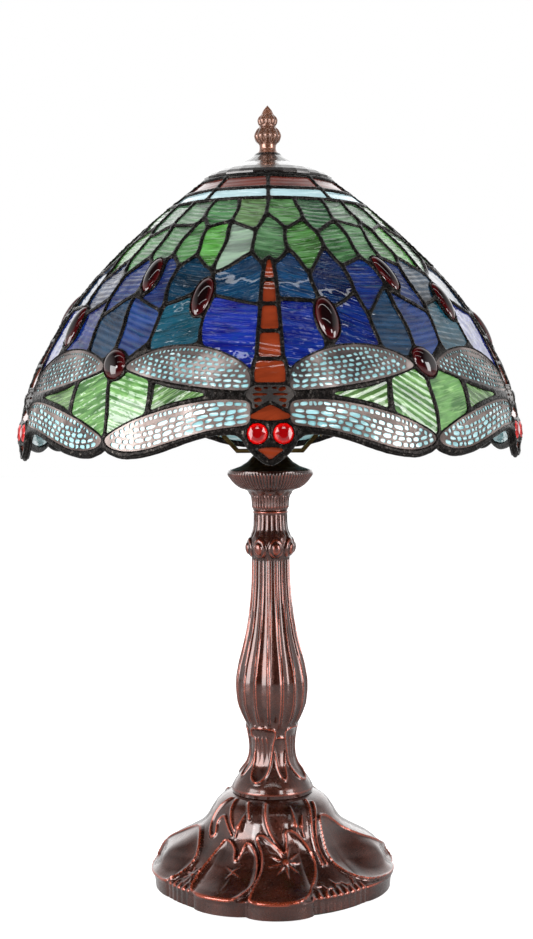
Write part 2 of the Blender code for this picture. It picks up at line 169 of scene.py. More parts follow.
class Build:
    """Gathers several closed solids, with their vertex attributes, for one object."""

    def __init__(self):
        self.verts, self.faces, self.marks, self.count = [], [], {}, 0

    def add(self, verts, faces, **marks):
        self.verts.append(verts)
        self.faces += [[i + self.count for i in face] for face in faces]
        for label, rows in marks.items():
            rows = np.asarray(rows, float)
            if rows.ndim < 2 and rows.shape != (len(verts),):
                rows = np.tile(rows, (len(verts), 1))
            self.marks.setdefault(label, []).append(rows)
        self.count += len(verts)

    def make(self, name, material, smooth=True):
        kinds = {1: "FLOAT", 3: "FLOAT_VECTOR", 4: "FLOAT_COLOR"}
        attributes = []
        for label, parts in self.marks.items():
            rows = np.concatenate([p.reshape(len(p), -1) for p in parts])
            attributes.append((label, kinds[rows.shape[1]], rows))
        return make_object(name, np.concatenate(self.verts), self.faces, material, smooth, attributes)


def signed_area(loop):
    """Area inside a flat loop, positive if it runs counter-clockwise."""
    x, y = loop.T
    return (x * np.roll(y, -1) - np.roll(x, -1) * y).sum() / 2


def cut_sheet(outline, holes, inner):
    """Triangles of a flat sheet with holes, as (points, triangles), all lists in one plane."""
    loops = [loop if signed_area(loop) > 0 else loop[::-1] for loop in (outline, *holes)]
    points = np.concatenate([*loops, inner]) if len(inner) else np.concatenate(loops)
    starts = np.cumsum([0] + [len(loop) for loop in loops])
    rings = [list(range(a, b)) for a, b in zip(starts, starts[1:])]
    found, _, faces, _, _, owners = geometry.delaunay_2d_cdt(
        [Vector(p) for p in points.tolist()], [], rings, 0, 1e-7
    )
    kept = [face for face, owner in zip(faces, owners) if list(owner) == [0]]
    used = sorted({i for face in kept for i in face})
    index = {old: new for new, old in enumerate(used)}
    return np.array([found[i] for i in used]), [[index[i] for i in face] for face in kept]


def thicken(top, bottom, faces):
    """One closed solid between two layers that share their triangles."""
    count = len(top)
    edges = {(a, b): None for face in faces for a, b in zip(face, face[1:] + face[:1])}
    walls = [[b, a, a + count, b + count] for a, b in edges if (b, a) not in edges]
    under = [[i + count for i in reversed(face)] for face in faces]
    return np.concatenate([top, bottom]), faces + under + walls


def ring_faces(count, rows):
    """Quads of a closed band of count columns, each a ring of rows points."""
    return [
        [i * rows + j, i * rows + (j + 1) % rows,
         (i + 1) % count * rows + (j + 1) % rows, (i + 1) % count * rows + j]
        for i in range(count) for j in range(rows)
    ]


def widened(outline, by):
    """A flat outline with every point moved that far from its middle."""
    centre = outline.mean(axis=0)
    away = outline - centre
    return centre + away * (1 + by / np.hypot(*away.T)[:, None])


def hump(value, at, width):
    """A smooth swelling, 1 at one value and dying away to both sides."""
    return np.exp(-((value - at) / width) ** 2)


def fade(value, start, span):
    """0 before the start and 1 a span further on, where a negative span runs downwards."""
    return np.clip((value - start) / span, 0, 1)


def resampled(loop, spacing):
    """A closed loop with points at an even spacing."""
    closed = np.vstack([loop, loop[:1]])
    along = np.concatenate([[0], np.cumsum(np.hypot(*np.diff(closed, axis=0).T))])
    count = max(8, int(round(along[-1] / spacing)))
    at = np.linspace(0, along[-1], count, endpoint=False)
    return np.stack([np.interp(at, along, closed[:, k]) for k in (0, 1)], axis=1)


def spline(a, b, c, d, steps):
    """Points of the Catmull-Rom stretches from each b to its c, with neighbours a and d."""
    t = (np.arange(steps) / steps)[None, :, None]
    a, b, c, d = (k[:, None, :] for k in (a, b, c, d))
    square, cube = 2 * a - 5 * b + 4 * c - d, 3 * b - a - 3 * c + d
    return (0.5 * (2 * b + (c - a) * t + square * t**2 + cube * t**3)).reshape(-1, 2)


def smooth_loop(points, steps):
    """A closed Catmull-Rom curve through the points."""
    b = np.asarray(points, float)
    return spline(np.roll(b, 1, 0), b, np.roll(b, -1, 0), np.roll(b, -2, 0), steps)


def open_curve(points, steps):
    """A Catmull-Rom curve from the first point to the last."""
    p = np.concatenate([2 * points[:1] - points[1:2], points, 2 * points[-1:] - points[-2:-1]])
    return np.concatenate([spline(p[:-3], p[1:-2], p[2:-1], p[3:], steps), p[-2:-1]])


def hex_grid(low, high, spacing):
    """Evenly spread points of a box, every other row shifted by half a step."""
    rows = np.arange(low[1], high[1], spacing * 0.866)
    columns = np.arange(low[0], high[0], spacing)
    x, y = np.meshgrid(columns, rows)
    x = x + np.where(np.arange(len(rows)) % 2, spacing / 2, 0)[:, None]
    return np.stack([x.ravel(), y.ravel()], axis=1)


def ripple(points, size, octaves=2):
    """Smooth noise from -1 to 1 at each point, for points and a feature size in the same unit."""
    return np.array([noise.fractal(Vector(p) / size, 1.0, 2.0, octaves) for p in points.tolist()])


# ---------------------------------------------------------------- shade: distance fields

CORNER = 0.7  # how softly the glass outlines round their corners


def smooth_max(terms):
    """Largest of several distances, rounded where two meet."""
    stack = np.stack(terms)
    top = stack.max(axis=0)
    return top + CORNER * np.log(np.exp((stack - top) / CORNER).sum(axis=0))


def ellipse_distance(chart, centre, semi, tilt):
    """About the distance outside an ellipse on the shade, its first half axis leaning tilt to the right."""
    flat = Patch(*centre).from_chart(chart)
    x, y = flat[..., 0], flat[..., 1]
    up = x * math.sin(tilt) + y * math.cos(tilt)
    side = x * math.cos(tilt) - y * math.sin(tilt)
    k0 = np.hypot(up / semi[0], side / semi[1]) + 1e-9
    k1 = np.hypot(up / semi[0] ** 2, side / semi[1] ** 2) + 1e-9
    return k0 * (k0 - 1) / k1


def loop_distance(chart, loop):
    """Distance outside a closed loop of chart points, in mm, negative inside it."""
    patch = Patch(*loop.mean(axis=0))
    flat, ring = patch.from_chart(chart), patch.from_chart(loop)
    shape = flat.shape[:-1]
    p = flat.reshape(-1, 1, 2)
    a, b = ring[None], np.roll(ring, -1, axis=0)[None]
    ab, ap = b - a, p - a
    t = np.clip((ab * ap).sum(-1) / (ab**2).sum(-1), 0, 1)
    nearest = np.sqrt(((ap - t[..., None] * ab) ** 2).sum(-1)).min(axis=1)
    rise = np.where(ab[..., 1] == 0, 1e-12, ab[..., 1])
    left = p[..., 0] < a[..., 0] + (p[..., 1] - a[..., 1]) * ab[..., 0] / rise
    crosses = ((a[..., 1] > p[..., 1]) != (b[..., 1] > p[..., 1])) & left
    inside = crosses.sum(axis=1) % 2 == 1
    return np.where(inside, -nearest, nearest).reshape(shape)


RAYS, MARCHES, REACH = 120, 22, 60.0


def traced(start, field):
    """Outline of the region round a chart point where field is negative, as seen from its middle."""
    turns = np.linspace(0, 2 * math.pi, RAYS, endpoint=False)
    compass = np.stack([np.cos(turns), np.sin(turns)], axis=1)
    for _ in range(2):
        patch = Patch(*start)
        reach = np.zeros(RAYS)
        for _ in range(MARCHES):
            ahead = field(patch.to_chart(compass * reach[:, None]))
            reach = np.clip(reach - 0.9 * ahead, 0.5, REACH)
        loop = compass * reach[:, None]
        start = patch.to_chart(centroid(loop))
    return patch.to_chart(loop)


def centroid(loop):
    x, y = loop.T
    nx, ny = np.roll(x, -1), np.roll(y, -1)
    cross = x * ny - nx * y
    return np.array([((x + nx) * cross).sum(), ((y + ny) * cross).sum()]) / (3 * cross.sum())


# ---------------------------------------------------------------- shade: the drawing, in degrees and mm

POINTING, LINE_WAVE = 0.45, 0.009  # how the panes are drawn out to points, and how their edges wave
RED_TOP, RED_BOTTOM, AQUA_BOTTOM = 570.5, 558.9, 549.2
HALF_LEAD = 1.5  # half the width of a solder line
BAND_PIECES = 2 * DRAGONFLIES

# One site inside each piece of field glass in a sector: (azimuth from the dragonfly, height, its colour)
GREEN_SITES = [
    (7, 539, "5a9a4c"), (21.5, 538, "35704c"), (36.5, 539, "6f9476"), (-22, 538, "43894e"),
    (-7.5, 538, "86ae6a"), (0.3, 513, "4a8650"), (12, 510, "3f9412"), (24.5, 509, "4a8e4e"),
    (35.5, 515, "6c9c70"), (-28, 511, "5e9e58"), (-20.3, 512, "69cc45"), (-10.5, 509, "c4dcca"),
]
BLUE_SITES = [
    (6, 482, "1b4f8c"), (18, 483, "121c6e"), (27, 480, "1a30a4"), (-8, 481, "1a5488"),
    (-23.5, 484, "164262"), (-32.5, 481, "22329a"), (5.5, 447, "1226bc"), (20.5, 450, "1018a8"),
    (30, 449, "1b4c7c"), (-34, 450, "2a50b4"), (-22.5, 452, "1f7088"), (-8.5, 449, "1a22cc"),
]
LEAF_START = math.radians(11.5)  # the leaves' points begin here, past a broad run of solder
LEAF_SITES = [
    (31.3, 397, "3f9426"), (20.5, 400.2, "4c7c34"), (-31.3, 397, "5cae48"), (-20.5, 400.2, "4a7a36"),
]

# Oval cut jewels of a sector: (azimuth, height, half length, half width, lean to the right in degrees)
JEWELS = [
    (-17.2, 469.5, 17.5, 7.3, 5), (13.7, 452.5, 18, 8, -5), (36, 488.5, 17.5, 6.8, -8),
    (36, 421.5, 12.2, 9.6, -28),
]

UPPER_WING = [
    (4.2, 412), (5.5, 419), (8.5, 425), (12, 429.6), (16, 432.6), (20.5, 433.3), (25, 431.6),
    (29, 427.6), (32, 422.3), (32.6, 418.4), (30.5, 415.6), (27, 412), (22, 408.4), (16, 405),
    (10, 402.6), (5.5, 401.7), (4.2, 404),
]
LOWER_WING = [
    (4.4, 393.5), (8, 395.2), (12.5, 394.6), (18, 391.6), (23, 387.4), (28, 382), (32, 376),
    (35, 370.2), (35.4, 366), (33.6, 362), (30, 360), (26, 361.2), (22, 364.8), (17, 370), (12, 374.4),
    (8, 376.4), (4.6, 378.4), (4, 385),
]
RIM = [
    (0, 351.8), (1.4, 353.6), (3, 358.2), (4.4, 363.6), (5.2, 368.4), (6.9, 372.4), (9.8, 372.8),
    (12.5, 371.4), (16, 368.2), (20, 363.4), (24, 359), (28, 356.4), (31.5, 356), (34.4, 358.8),
    (36, 361.5),
]

# The dragonfly's body: half width of its red glass with the solder beside it, and its segments' heights
BODY_WIDTH = [
    (379, 15), (383, 11.5), (394, 10.6), (405, 12), (414, 12.2), (421, 11), (426, 9.2), (441, 8.2),
    (458, 6.8), (472, 5.8), (484, 4.8), (497, 2.6), (499, 0.6), (560, -90),
]
SEGMENTS = [(498.5, 481.2), (481.2, 463.2), (463.2, 443.4), (443.4, 423.6), (423.6, 405.6)]
SHAPES = {
    "fan": [
        (0, 391.6), (1.6, 389.2), (2.8, 386.8), (4, 384.4), (3.5, 382.2), (0, 380.9), (-3.5, 382.2),
        (-4, 384.4), (-2.8, 386.8), (-1.6, 389.2),
    ],
    "face": [
        (-2.5, 361), (-1.3, 362.2), (0, 362.6), (1.3, 362.2), (2.5, 361), (1.2, 357.5), (0, 354.4),
        (-1.2, 357.5),
    ],
    "thorax": [
        (-3.3, 404.6), (0, 405.2), (3.3, 404.6), (4.6, 400.5), (4.8, 397.5), (3.7, 393.5), (3.4, 389),
        (1.8, 391.6), (0, 394.4), (-1.8, 391.6), (-3.4, 389), (-3.7, 393.5), (-4.8, 397.5), (-4.6, 400.5),
    ],
}
# Openings of the thorax's metal from its middle: (right, up, half length, half height, lean in degrees)
THORAX_WINDOWS = [
    (x * side, y, length, height, lean * side)
    for side in (-1, 1)
    for x, y, length, height, lean in (
        (8.4, 4.9, 2.7, 1.5, 20), (3, 5.7, 1.7, 0.9, 0), (7, 1.1, 5.2, 1.0, 0), (8.6, -3, 2.6, 1.5, -12),
        (9.4, -7.1, 1.7, 1.2, 25),
    )
]
EYE_OFFSET, EYE_HEIGHT, EYE_RADIUS = 8.9, 371.9, 7.3

# How the wings' windows run, in mm
WING_LOOKS = {
    "upper": {"height": 2.6, "wall": 1.15, "border": 0.9, "lengths": (2.5, 5.4), "tumble": 0.38},
    "lower": {"height": 3.2, "wall": 0.75, "border": 0.7, "lengths": (3.8, 9.4), "tumble": 0.1},
}
WINDOW_POINTS, MIN_WINDOW = 14, 2.2
WING_TOP, WING_GLASS, WING_TINT = 0.5, -0.1, "86bcc2"
PLAIN_TINTS = {"body": "93391b", "red_band": "6c2a20", "aqua_band": "b4dce4"}
TINT_DEPTH = {"green": 0.4, "blue": 0.3, "body": 0.5, "red_band": 0.75, "aqua_band": 0.68, "leaf": 0.48}
GRAIN_LEAN = {"green": 16, "blue": 22, "leaf": 55, "body": 12, "red_band": 5, "aqua_band": 5}
OUTLINE_STEP, PANE_STEP = 1.5, 2.3
UNDER_LEAD = 0.25  # how far a pane reaches under the solder
WIRE_SIDES = 12


def body_edge(depth):
    widths = np.array(BODY_WIDTH, float)
    return np.interp(np.interp(depth, DEPTHS, HEIGHTS), widths[:, 0], widths[:, 1])


def mirrored(points):
    return [(-azimuth, z) for azimuth, z in reversed(points)]


def wing_loop(points, centre, side):
    loop = on_chart(points if side > 0 else mirrored(points))
    loop = smooth_loop(loop, 5)
    loop[:, 0] += centre
    return loop


def sector_points(table, jitter=(0.0, 0.0)):
    """Chart points of a sector's list, repeated for every dragonfly, each copy a little different."""
    rows = []
    for i in range(DRAGONFLIES):
        points = on_chart([row[:2] for row in table])
        points[:, 0] += i * SECTOR
        moved = RNG.normal(size=points.shape) * np.array(jitter) / radius_on(points[:, 1])[:, None]
        rows.append(points + (moved if i else 0))
    return np.concatenate(rows)


def bisector_terms(chart, sites, index):
    """Distances past the half way lines between one site and those near it.

    Depth counts for less than width, which draws the panes to points, and a slow wave bends the lines.
    """
    scale = radius_on(chart[..., 1])
    turn, depth = chart[..., 0], chart[..., 1]
    wave = np.stack([np.sin(10 * turn + 17 * depth), np.sin(15 * turn - 13 * depth + 1)], axis=-1)
    at = chart - sites[index] + LINE_WAVE * wave
    at[..., 0] = wrapped(at[..., 0])
    offset = sites - sites[index]
    offset[:, 0] = wrapped(offset[:, 0])
    offset *= (1, POINTING)
    length = np.hypot(*offset.T)
    terms = []
    for j in np.argsort(length)[1:13]:
        toward = offset[j] / length[j] * (1, POINTING)
        terms.append((at @ toward - length[j] / 2) * scale / np.hypot(*toward))
    return terms


def draw_shade():
    """Every piece of the shade as an outline on the chart: a list of dicts with kind, sector and loop."""
    wings, jewels, obstacles = [], [], []
    for i in range(DRAGONFLIES):
        centre = i * SECTOR
        for kind, points in (("upper", UPPER_WING), ("lower", LOWER_WING)):
            for word, side in (("left", -1), ("right", 1)):
                loop = wing_loop(points, centre, side)
                wings.append({"kind": kind, "sector": i, "side": side, "word": word, "loop": loop})
                obstacles.append((loop.mean(axis=0), 55, lambda c, loop=loop: loop_distance(c, loop)))
        for azimuth, z, length, width, lean in JEWELS:
            at = on_chart([(azimuth, z)])[0] + (centre, 0)
            shape = (at, (length, width), math.radians(lean))
            jewels.append({"kind": "jewel", "sector": i, "loop": oval_loop(*shape), "rise": 0.62 * width})
            obstacles.append((at, 20, lambda c, shape=shape: ellipse_distance(c, *shape)))
        for side in (-1, 1):
            at = on_chart([(0, EYE_HEIGHT)])[0]
            at += (centre + side * EYE_OFFSET / float(radius_on(at[1])), 0)
            loop = oval_loop(at, (EYE_RADIUS, EYE_RADIUS), 0)
            jewels.append({"kind": "eye", "sector": i, "loop": loop, "at": at})
    return wings + jewels + field_pieces(obstacles) + band_pieces()


def oval_loop(at, semi, tilt):
    turns = np.linspace(0, 2 * math.pi, 44, endpoint=False)
    up, side = semi[0] * np.cos(turns), semi[1] * np.sin(turns)
    flat = [up * math.sin(tilt) + side * math.cos(tilt), up * math.cos(tilt) - side * math.sin(tilt)]
    return Patch(*at).to_chart(np.stack(flat, axis=1))


def turn_from_body(chart):
    return np.abs(wrapped(chart[..., 0], SECTOR))


def body_distance(chart):
    return turn_from_body(chart) * radius_on(chart[..., 1]) - body_edge(chart[..., 1])


def field_pieces(obstacles):
    """The panes of the green and blue fields and the leaves, cut round the wings, bodies and jewels."""
    tables = (
        ("green", GREEN_SITES, (2.0, 1.6)),
        ("blue", BLUE_SITES, (1.2, 1.0)),
        ("leaf", LEAF_SITES, (0, 0)),
    )
    sites = np.concatenate([sector_points(table, jitter) for _, table, jitter in tables])
    rows = [(kind, row[2]) for kind, table, _ in tables for _ in range(DRAGONFLIES) for row in table]
    aqua_depth = float(depth_of(AQUA_BOTTOM))
    pieces = []
    for index, (site, (kind, colour)) in enumerate(zip(sites, rows)):
        flat = Patch(*site)
        near = [f for at, size, f in obstacles if np.hypot(*flat.from_chart(at)) < 42 + size]

        def field(chart):
            terms = bisector_terms(chart, sites, index) + [-f(chart) for f in near]
            terms += [-body_distance(chart), (aqua_depth - chart[..., 1]) * radius_on(chart[..., 1])]
            if kind != "leaf":
                return smooth_max(terms) + HALF_LEAD
            turn = turn_from_body(chart)
            terms.append((LEAF_START - turn) * radius_on(chart[..., 1]))
            return smooth_max(terms) + HALF_LEAD + 2.4 * np.clip((0.48 - turn) / 0.1, 0, 1)

        sector = int(round(site[0] / SECTOR)) % DRAGONFLIES
        pieces.append({"kind": kind, "sector": sector, "loop": traced(site, field), "colour": colour})
    return pieces


def band_piece(kind, azimuth, half_width, top, bottom, inset=HALF_LEAD):
    """A piece between two heights, half_width radians to each side or as wide as the body if None."""
    low, high = float(depth_of(top)), float(depth_of(bottom))

    def field(chart):
        scale = radius_on(chart[..., 1])
        turn = np.abs(wrapped(chart[..., 0] - azimuth))
        sides = turn * scale - (body_edge(chart[..., 1]) if half_width is None else half_width * scale)
        return smooth_max([sides, (low - chart[..., 1]) * scale, (chart[..., 1] - high) * scale]) + inset

    middle = (azimuth, float(depth_of((top + bottom) / 2)))
    sector = int(azimuth / SECTOR + 0.5) % DRAGONFLIES
    return {"kind": kind, "sector": sector, "loop": traced(middle, field)}


def band_pieces():
    pieces = []
    half = math.pi / BAND_PIECES
    for i in range(BAND_PIECES):
        pieces.append(band_piece("red_band", (2 * i + 1) * half, half, RED_TOP, RED_BOTTOM))
        pieces.append(band_piece("aqua_band", (2 * i + 1) * half, half, RED_BOTTOM, AQUA_BOTTOM))
    for i in range(DRAGONFLIES):
        for top, bottom in SEGMENTS:
            pieces.append(band_piece("body", i * SECTOR, None, top, bottom))
        for kind, shape in SHAPES.items():
            loop = smooth_loop(on_chart(shape), 4) + (i * SECTOR, 0)
            pieces.append({"kind": kind, "sector": i, "loop": loop})
    return pieces


def even_loops(pieces):
    """Spaces the points of every outline evenly and turns it counter-clockwise seen from outside."""
    for piece in pieces:
        patch = Patch(*piece["loop"].mean(axis=0))
        flat = resampled(patch.from_chart(piece["loop"]), OUTLINE_STEP)
        piece["loop"] = patch.to_chart(flat if signed_area(flat) > 0 else flat[::-1])


def rim_loop():
    """The lower edge of the shade, once round, with rising azimuths."""
    half = on_chart(RIM)
    one = np.concatenate([half, (half[::-1] * (-1, 1) + (SECTOR, 0))[1:-1]])
    ring = np.concatenate([one + (i * SECTOR, 0) for i in range(DRAGONFLIES)])
    around = np.concatenate([ring[-1:] - (2 * math.pi, 0), ring, ring[:2] + (2 * math.pi, 0)])
    return spline(around[:-3], around[1:-2], around[2:-1], around[3:], 6)


# ---------------------------------------------------------------- materials


def tone(code):
    """Linear colour of a six figure sRGB code."""
    values = [int(code[i:i + 2], 16) / 255 for i in (0, 2, 4)]
    return tuple(v / 12.92 if v <= 0.04045 else ((v + 0.055) / 1.055) ** 2.4 for v in values)


def new_material(name, **values):
    """A Principled material, with plain values set on its sockets."""
    material = bpy.data.materials.new(name)
    material.use_nodes = True
    shader = material.node_tree.nodes["Principled BSDF"]
    for label, value in values.items():
        shader.inputs[label.replace("_", " ")].default_value = value
    return material, material.node_tree, shader


def node(tree, kind, inputs=(), **settings):
    made = tree.nodes.new(kind)
    for label, value in settings.items():
        setattr(made, label, value)
    for label, value in dict(inputs).items():
        if isinstance(value, bpy.types.NodeSocket):
            tree.links.new(value, made.inputs[label])
        else:
            made.inputs[label].default_value = value
    return made


def ramp(tree, source, *stops):
    """A colour ramp over (position, colour code or grey)."""
    made = node(tree, "ShaderNodeValToRGB", {"Fac": source})
    elements = made.color_ramp.elements
    while len(elements) < len(stops):
        elements.new(0.5)
    for element, (position, value) in zip(elements, stops):
        element.position = position
        element.color = (*tone(value), 1) if isinstance(value, str) else (value, value, value, 1)
    return made.outputs["Color"]


def mix_colour(tree, factor, a, b):
    made = node(tree, "ShaderNodeMix", data_type="RGBA")
    for index, value in ((0, factor), (6, a), (7, b)):
        if isinstance(value, bpy.types.NodeSocket):
            tree.links.new(value, made.inputs[index])
        else:
            made.inputs[index].default_value = (*tone(value), 1) if isinstance(value, str) else value
    return made.outputs[2]


def noise_at(tree, vector, scale, detail=3.0, distortion=0.0):
    inputs = {"Vector": vector, "Scale": scale, "Detail": detail, "Distortion": distortion}
    return node(tree, "ShaderNodeTexNoise", inputs).outputs["Fac"]


def scaled(tree, vector, factors):
    return node(tree, "ShaderNodeVectorMath", {0: vector, 1: factors}, operation="MULTIPLY").outputs[0]


def mapped(tree, value, low, high, to_low, to_high):
    """The value as a share of low to high, turned into a share of to_low to to_high."""
    inputs = {"Value": value, "From Min": low, "From Max": high, "To Min": to_low, "To Max": to_high}
    return node(tree, "ShaderNodeMapRange", inputs).outputs[0]


def millimetres(tree):
    """The object's own coordinates, in mm."""
    return scaled(tree, node(tree, "ShaderNodeTexCoord").outputs["Object"], (1000, 1000, 1000))


def bump(tree, shader, height, strength, distance, before=None):
    """Relief of that many mm on the shader, on top of an earlier one."""
    inputs = {"Height": height, "Strength": strength, "Distance": distance * MM}
    if before is not None:
        inputs["Normal"] = before
    made = node(tree, "ShaderNodeBump", inputs)
    tree.links.new(made.outputs["Normal"], shader.inputs["Normal"])
    return made.outputs["Normal"]


def attribute(tree, name, output="Color"):
    return node(tree, "ShaderNodeAttribute", attribute_name=name).outputs[output]


def feed(tree, shader, **outputs):
    """Joins node outputs to the shader's sockets, which are named with _ for a space."""
    for label, output in outputs.items():
        tree.links.new(output, shader.inputs[label.replace("_", " ")])


def streaky_glass(name, wisp, wisp_amount, deepen=0.45, waves=1.0):
    """Opalescent sheet glass. The mesh gives each piece its tint, and its grain in mm along and across.

    The wisps cover up to wisp_amount, deepen darkens the streaks, and waves scales the rolled surface. On
    the leaf glass the pale wisps are partly painted highlights.
    """
    material, tree, shader = new_material(name, Roughness=0.07, Coat_Weight=0.6, Coat_Roughness=0.03)
    shader.inputs["Specular IOR Level"].default_value = 0.6
    tint, grain = attribute(tree, "tint"), attribute(tree, "grain", "Vector")
    broad = noise_at(tree, scaled(tree, grain, (0.03, 0.1, 1)), 1.0, 3, 0.8)
    fine = noise_at(tree, scaled(tree, grain, (0.045, 0.5, 1)), 1.0, 4, 1.0)
    dark = scaled(tree, tint, (1 - 1.2 * deepen,) * 3)
    pale = mix_colour(tree, 0.16, tint, wisp)
    body = mix_colour(tree, ramp(tree, broad, (0.38, 0.0), (0.62, 1.0)), dark, pale)
    wisps = ramp(tree, fine, (0.52, 0.0), (0.72, wisp_amount))
    feed(tree, shader, Base_Color=mix_colour(tree, wisps, body, wisp))
    rolls = node(
        tree, "ShaderNodeTexWave",
        {"Vector": scaled(tree, grain, (0.006, 0.066, 1)), "Scale": 1.0, "Distortion": 3.0, "Detail": 1.5,
         "Detail Scale": 1.5},
        wave_type="BANDS", bands_direction="Y", wave_profile="SIN",
    ).outputs["Fac"]
    first = bump(tree, shader, rolls, 1.0, 0.3 * waves)
    dimples = noise_at(tree, scaled(tree, grain, (0.1, 0.22, 1)), 1.0, 2)
    bump(tree, shader, dimples, 1.0, 0.5 * waves, first)
    return material


def solder_material():
    """Dark patinated solder, silvery where it is rubbed."""
    material, tree, shader = new_material("solder", Metallic=0.7)
    shader.inputs["Specular IOR Level"].default_value = 0.25
    place = millimetres(tree)
    shade = ramp(tree, noise_at(tree, place, 0.35, 5), (0.4, "0c0a09"), (0.62, "1e1a18"), (0.8, "6e6963"))
    dull = ramp(tree, noise_at(tree, place, 0.8), (0.3, 0.16), (0.7, 0.4))
    feed(tree, shader, Base_Color=shade, Roughness=dull)
    first = bump(tree, shader, noise_at(tree, place, 0.55), 0.6, 0.8)
    bump(tree, shader, noise_at(tree, place, 2.0, 2), 0.4, 0.25, first)
    return material


def filigree_material(name, dark, middle, worn):
    """Etched metal overlay with a dull patina."""
    material, tree, shader = new_material(name, Metallic=0.45)
    place = millimetres(tree)
    shade = ramp(tree, noise_at(tree, place, 0.028, 5, 0.6), (0.34, dark), (0.5, middle), (0.66, worn))
    dull = ramp(tree, noise_at(tree, place, 1.4), (0.3, 0.28), (0.7, 0.5))
    feed(tree, shader, Base_Color=shade, Roughness=dull)
    bump(tree, shader, noise_at(tree, place, 1.3, 4), 0.6, 0.3)
    return material


def painted_glow_jewel_material(name, core, rim, rough):
    """Pressed red glass: a dark red core, brightened towards its edge by a painted glow of light through
    the stone. The mesh gives how near the edge is.
    """
    material, tree, shader = new_material(name, Roughness=rough, Coat_Weight=0.25, Coat_Roughness=0.02)
    edge = attribute(tree, "edge", "Fac")
    cloud = noise_at(tree, millimetres(tree), 0.12, 2, 0.6)
    # painted light: towards the edge the core colour turns into the brighter rim colour, as light passing
    # through the stone would glow
    glow = mix_colour(tree, ramp(tree, edge, (0.55, 0.0), (0.97, 1.0)), core, rim)
    feed(tree, shader, Base_Color=mix_colour(tree, ramp(tree, cloud, (0.4, 0.0), (0.7, 0.5)), glow, core))
    return material


def bronze_material(name, dark, middle, worn):
    """Cast metal with a dark brown patina, rubbed red on what the mesh says stands proud."""
    material, tree, shader = new_material(name, Metallic=0.65, Coat_Weight=1.0, Coat_Roughness=0.1)
    place = millimetres(tree)
    patchy = ramp(tree, noise_at(tree, place, 0.05, 5), (0.35, dark), (0.65, middle))
    rubbed = ramp(tree, attribute(tree, "wear", "Fac"), (0.68, 0.0), (1.0, 0.9))
    dull = ramp(tree, noise_at(tree, place, 0.3, 4), (0.3, 0.2), (0.7, 0.36))
    feed(tree, shader, Base_Color=mix_colour(tree, rubbed, patchy, worn), Roughness=dull)
    first = bump(tree, shader, noise_at(tree, place, 0.15, 3), 0.5, 0.6)
    bump(tree, shader, noise_at(tree, place, 1.2, 2), 0.12, 0.05, first)
    return material


def plain_finish(name, low, high, scale, rough, metal=0.0, relief=0.1, brushed=False, **values):
    """A finish for a small part, its colour and gloss mottled, or drawn out round the part if brushed."""
    material, tree, shader = new_material(name, Metallic=metal, **values)
    place = millimetres(tree)
    if brushed:
        place = scaled(tree, place, (0.15, 0.15, 2.2))
    mottle = noise_at(tree, place, scale, 5)
    dull = ramp(tree, mottle, (0.3, rough), (0.7, rough + 0.15))
    feed(tree, shader, Base_Color=ramp(tree, mottle, (0.35, low), (0.65, high)), Roughness=dull)
    bump(tree, shader, mottle, 0.5, relief)
    return material


# ---------------------------------------------------------------- shade: glass


def pane_solid(build, piece, tint, lean, drop, wave):
    """One separate piece of sheet glass: flat, slightly tipped, its surface gently rolled."""
    patch = Patch(*piece["loop"].mean(axis=0))
    outline = patch.from_chart(piece["loop"])
    grid = hex_grid(outline.min(axis=0), outline.max(axis=0), PANE_STEP)
    grid = grid[loop_distance(patch.to_chart(grid), piece["loop"]) < -0.5 * PANE_STEP]
    points, faces = cut_sheet(widened(outline, UNDER_LEAD), [], grid)
    seed = RNG.uniform(0, 50)
    flatness = 0.15 if piece["kind"].endswith("band") else 1.0
    bow = flatness * points[:, 0] ** 2 / (2 * patch.scale)
    tipped = (points - points.mean(axis=0)) @ RNG.normal(0, 0.008, 2)
    rolled = wave * ripple(np.column_stack([points, np.full(len(points), seed)]), 8.0)
    out = bow - bow.mean() + tipped + rolled - drop
    chart = patch.to_chart(points)
    verts, solid = thicken(on_shade(chart, out), on_shade(chart, out - GLASS), faces)
    c, s = math.cos(lean), math.sin(lean)
    grain = np.column_stack([points @ (c, s) + seed * 9, points @ (-s, c), np.full(len(points), seed)])
    build.add(verts, solid, tint=(*tint, 1.0), grain=np.concatenate([grain, grain]))


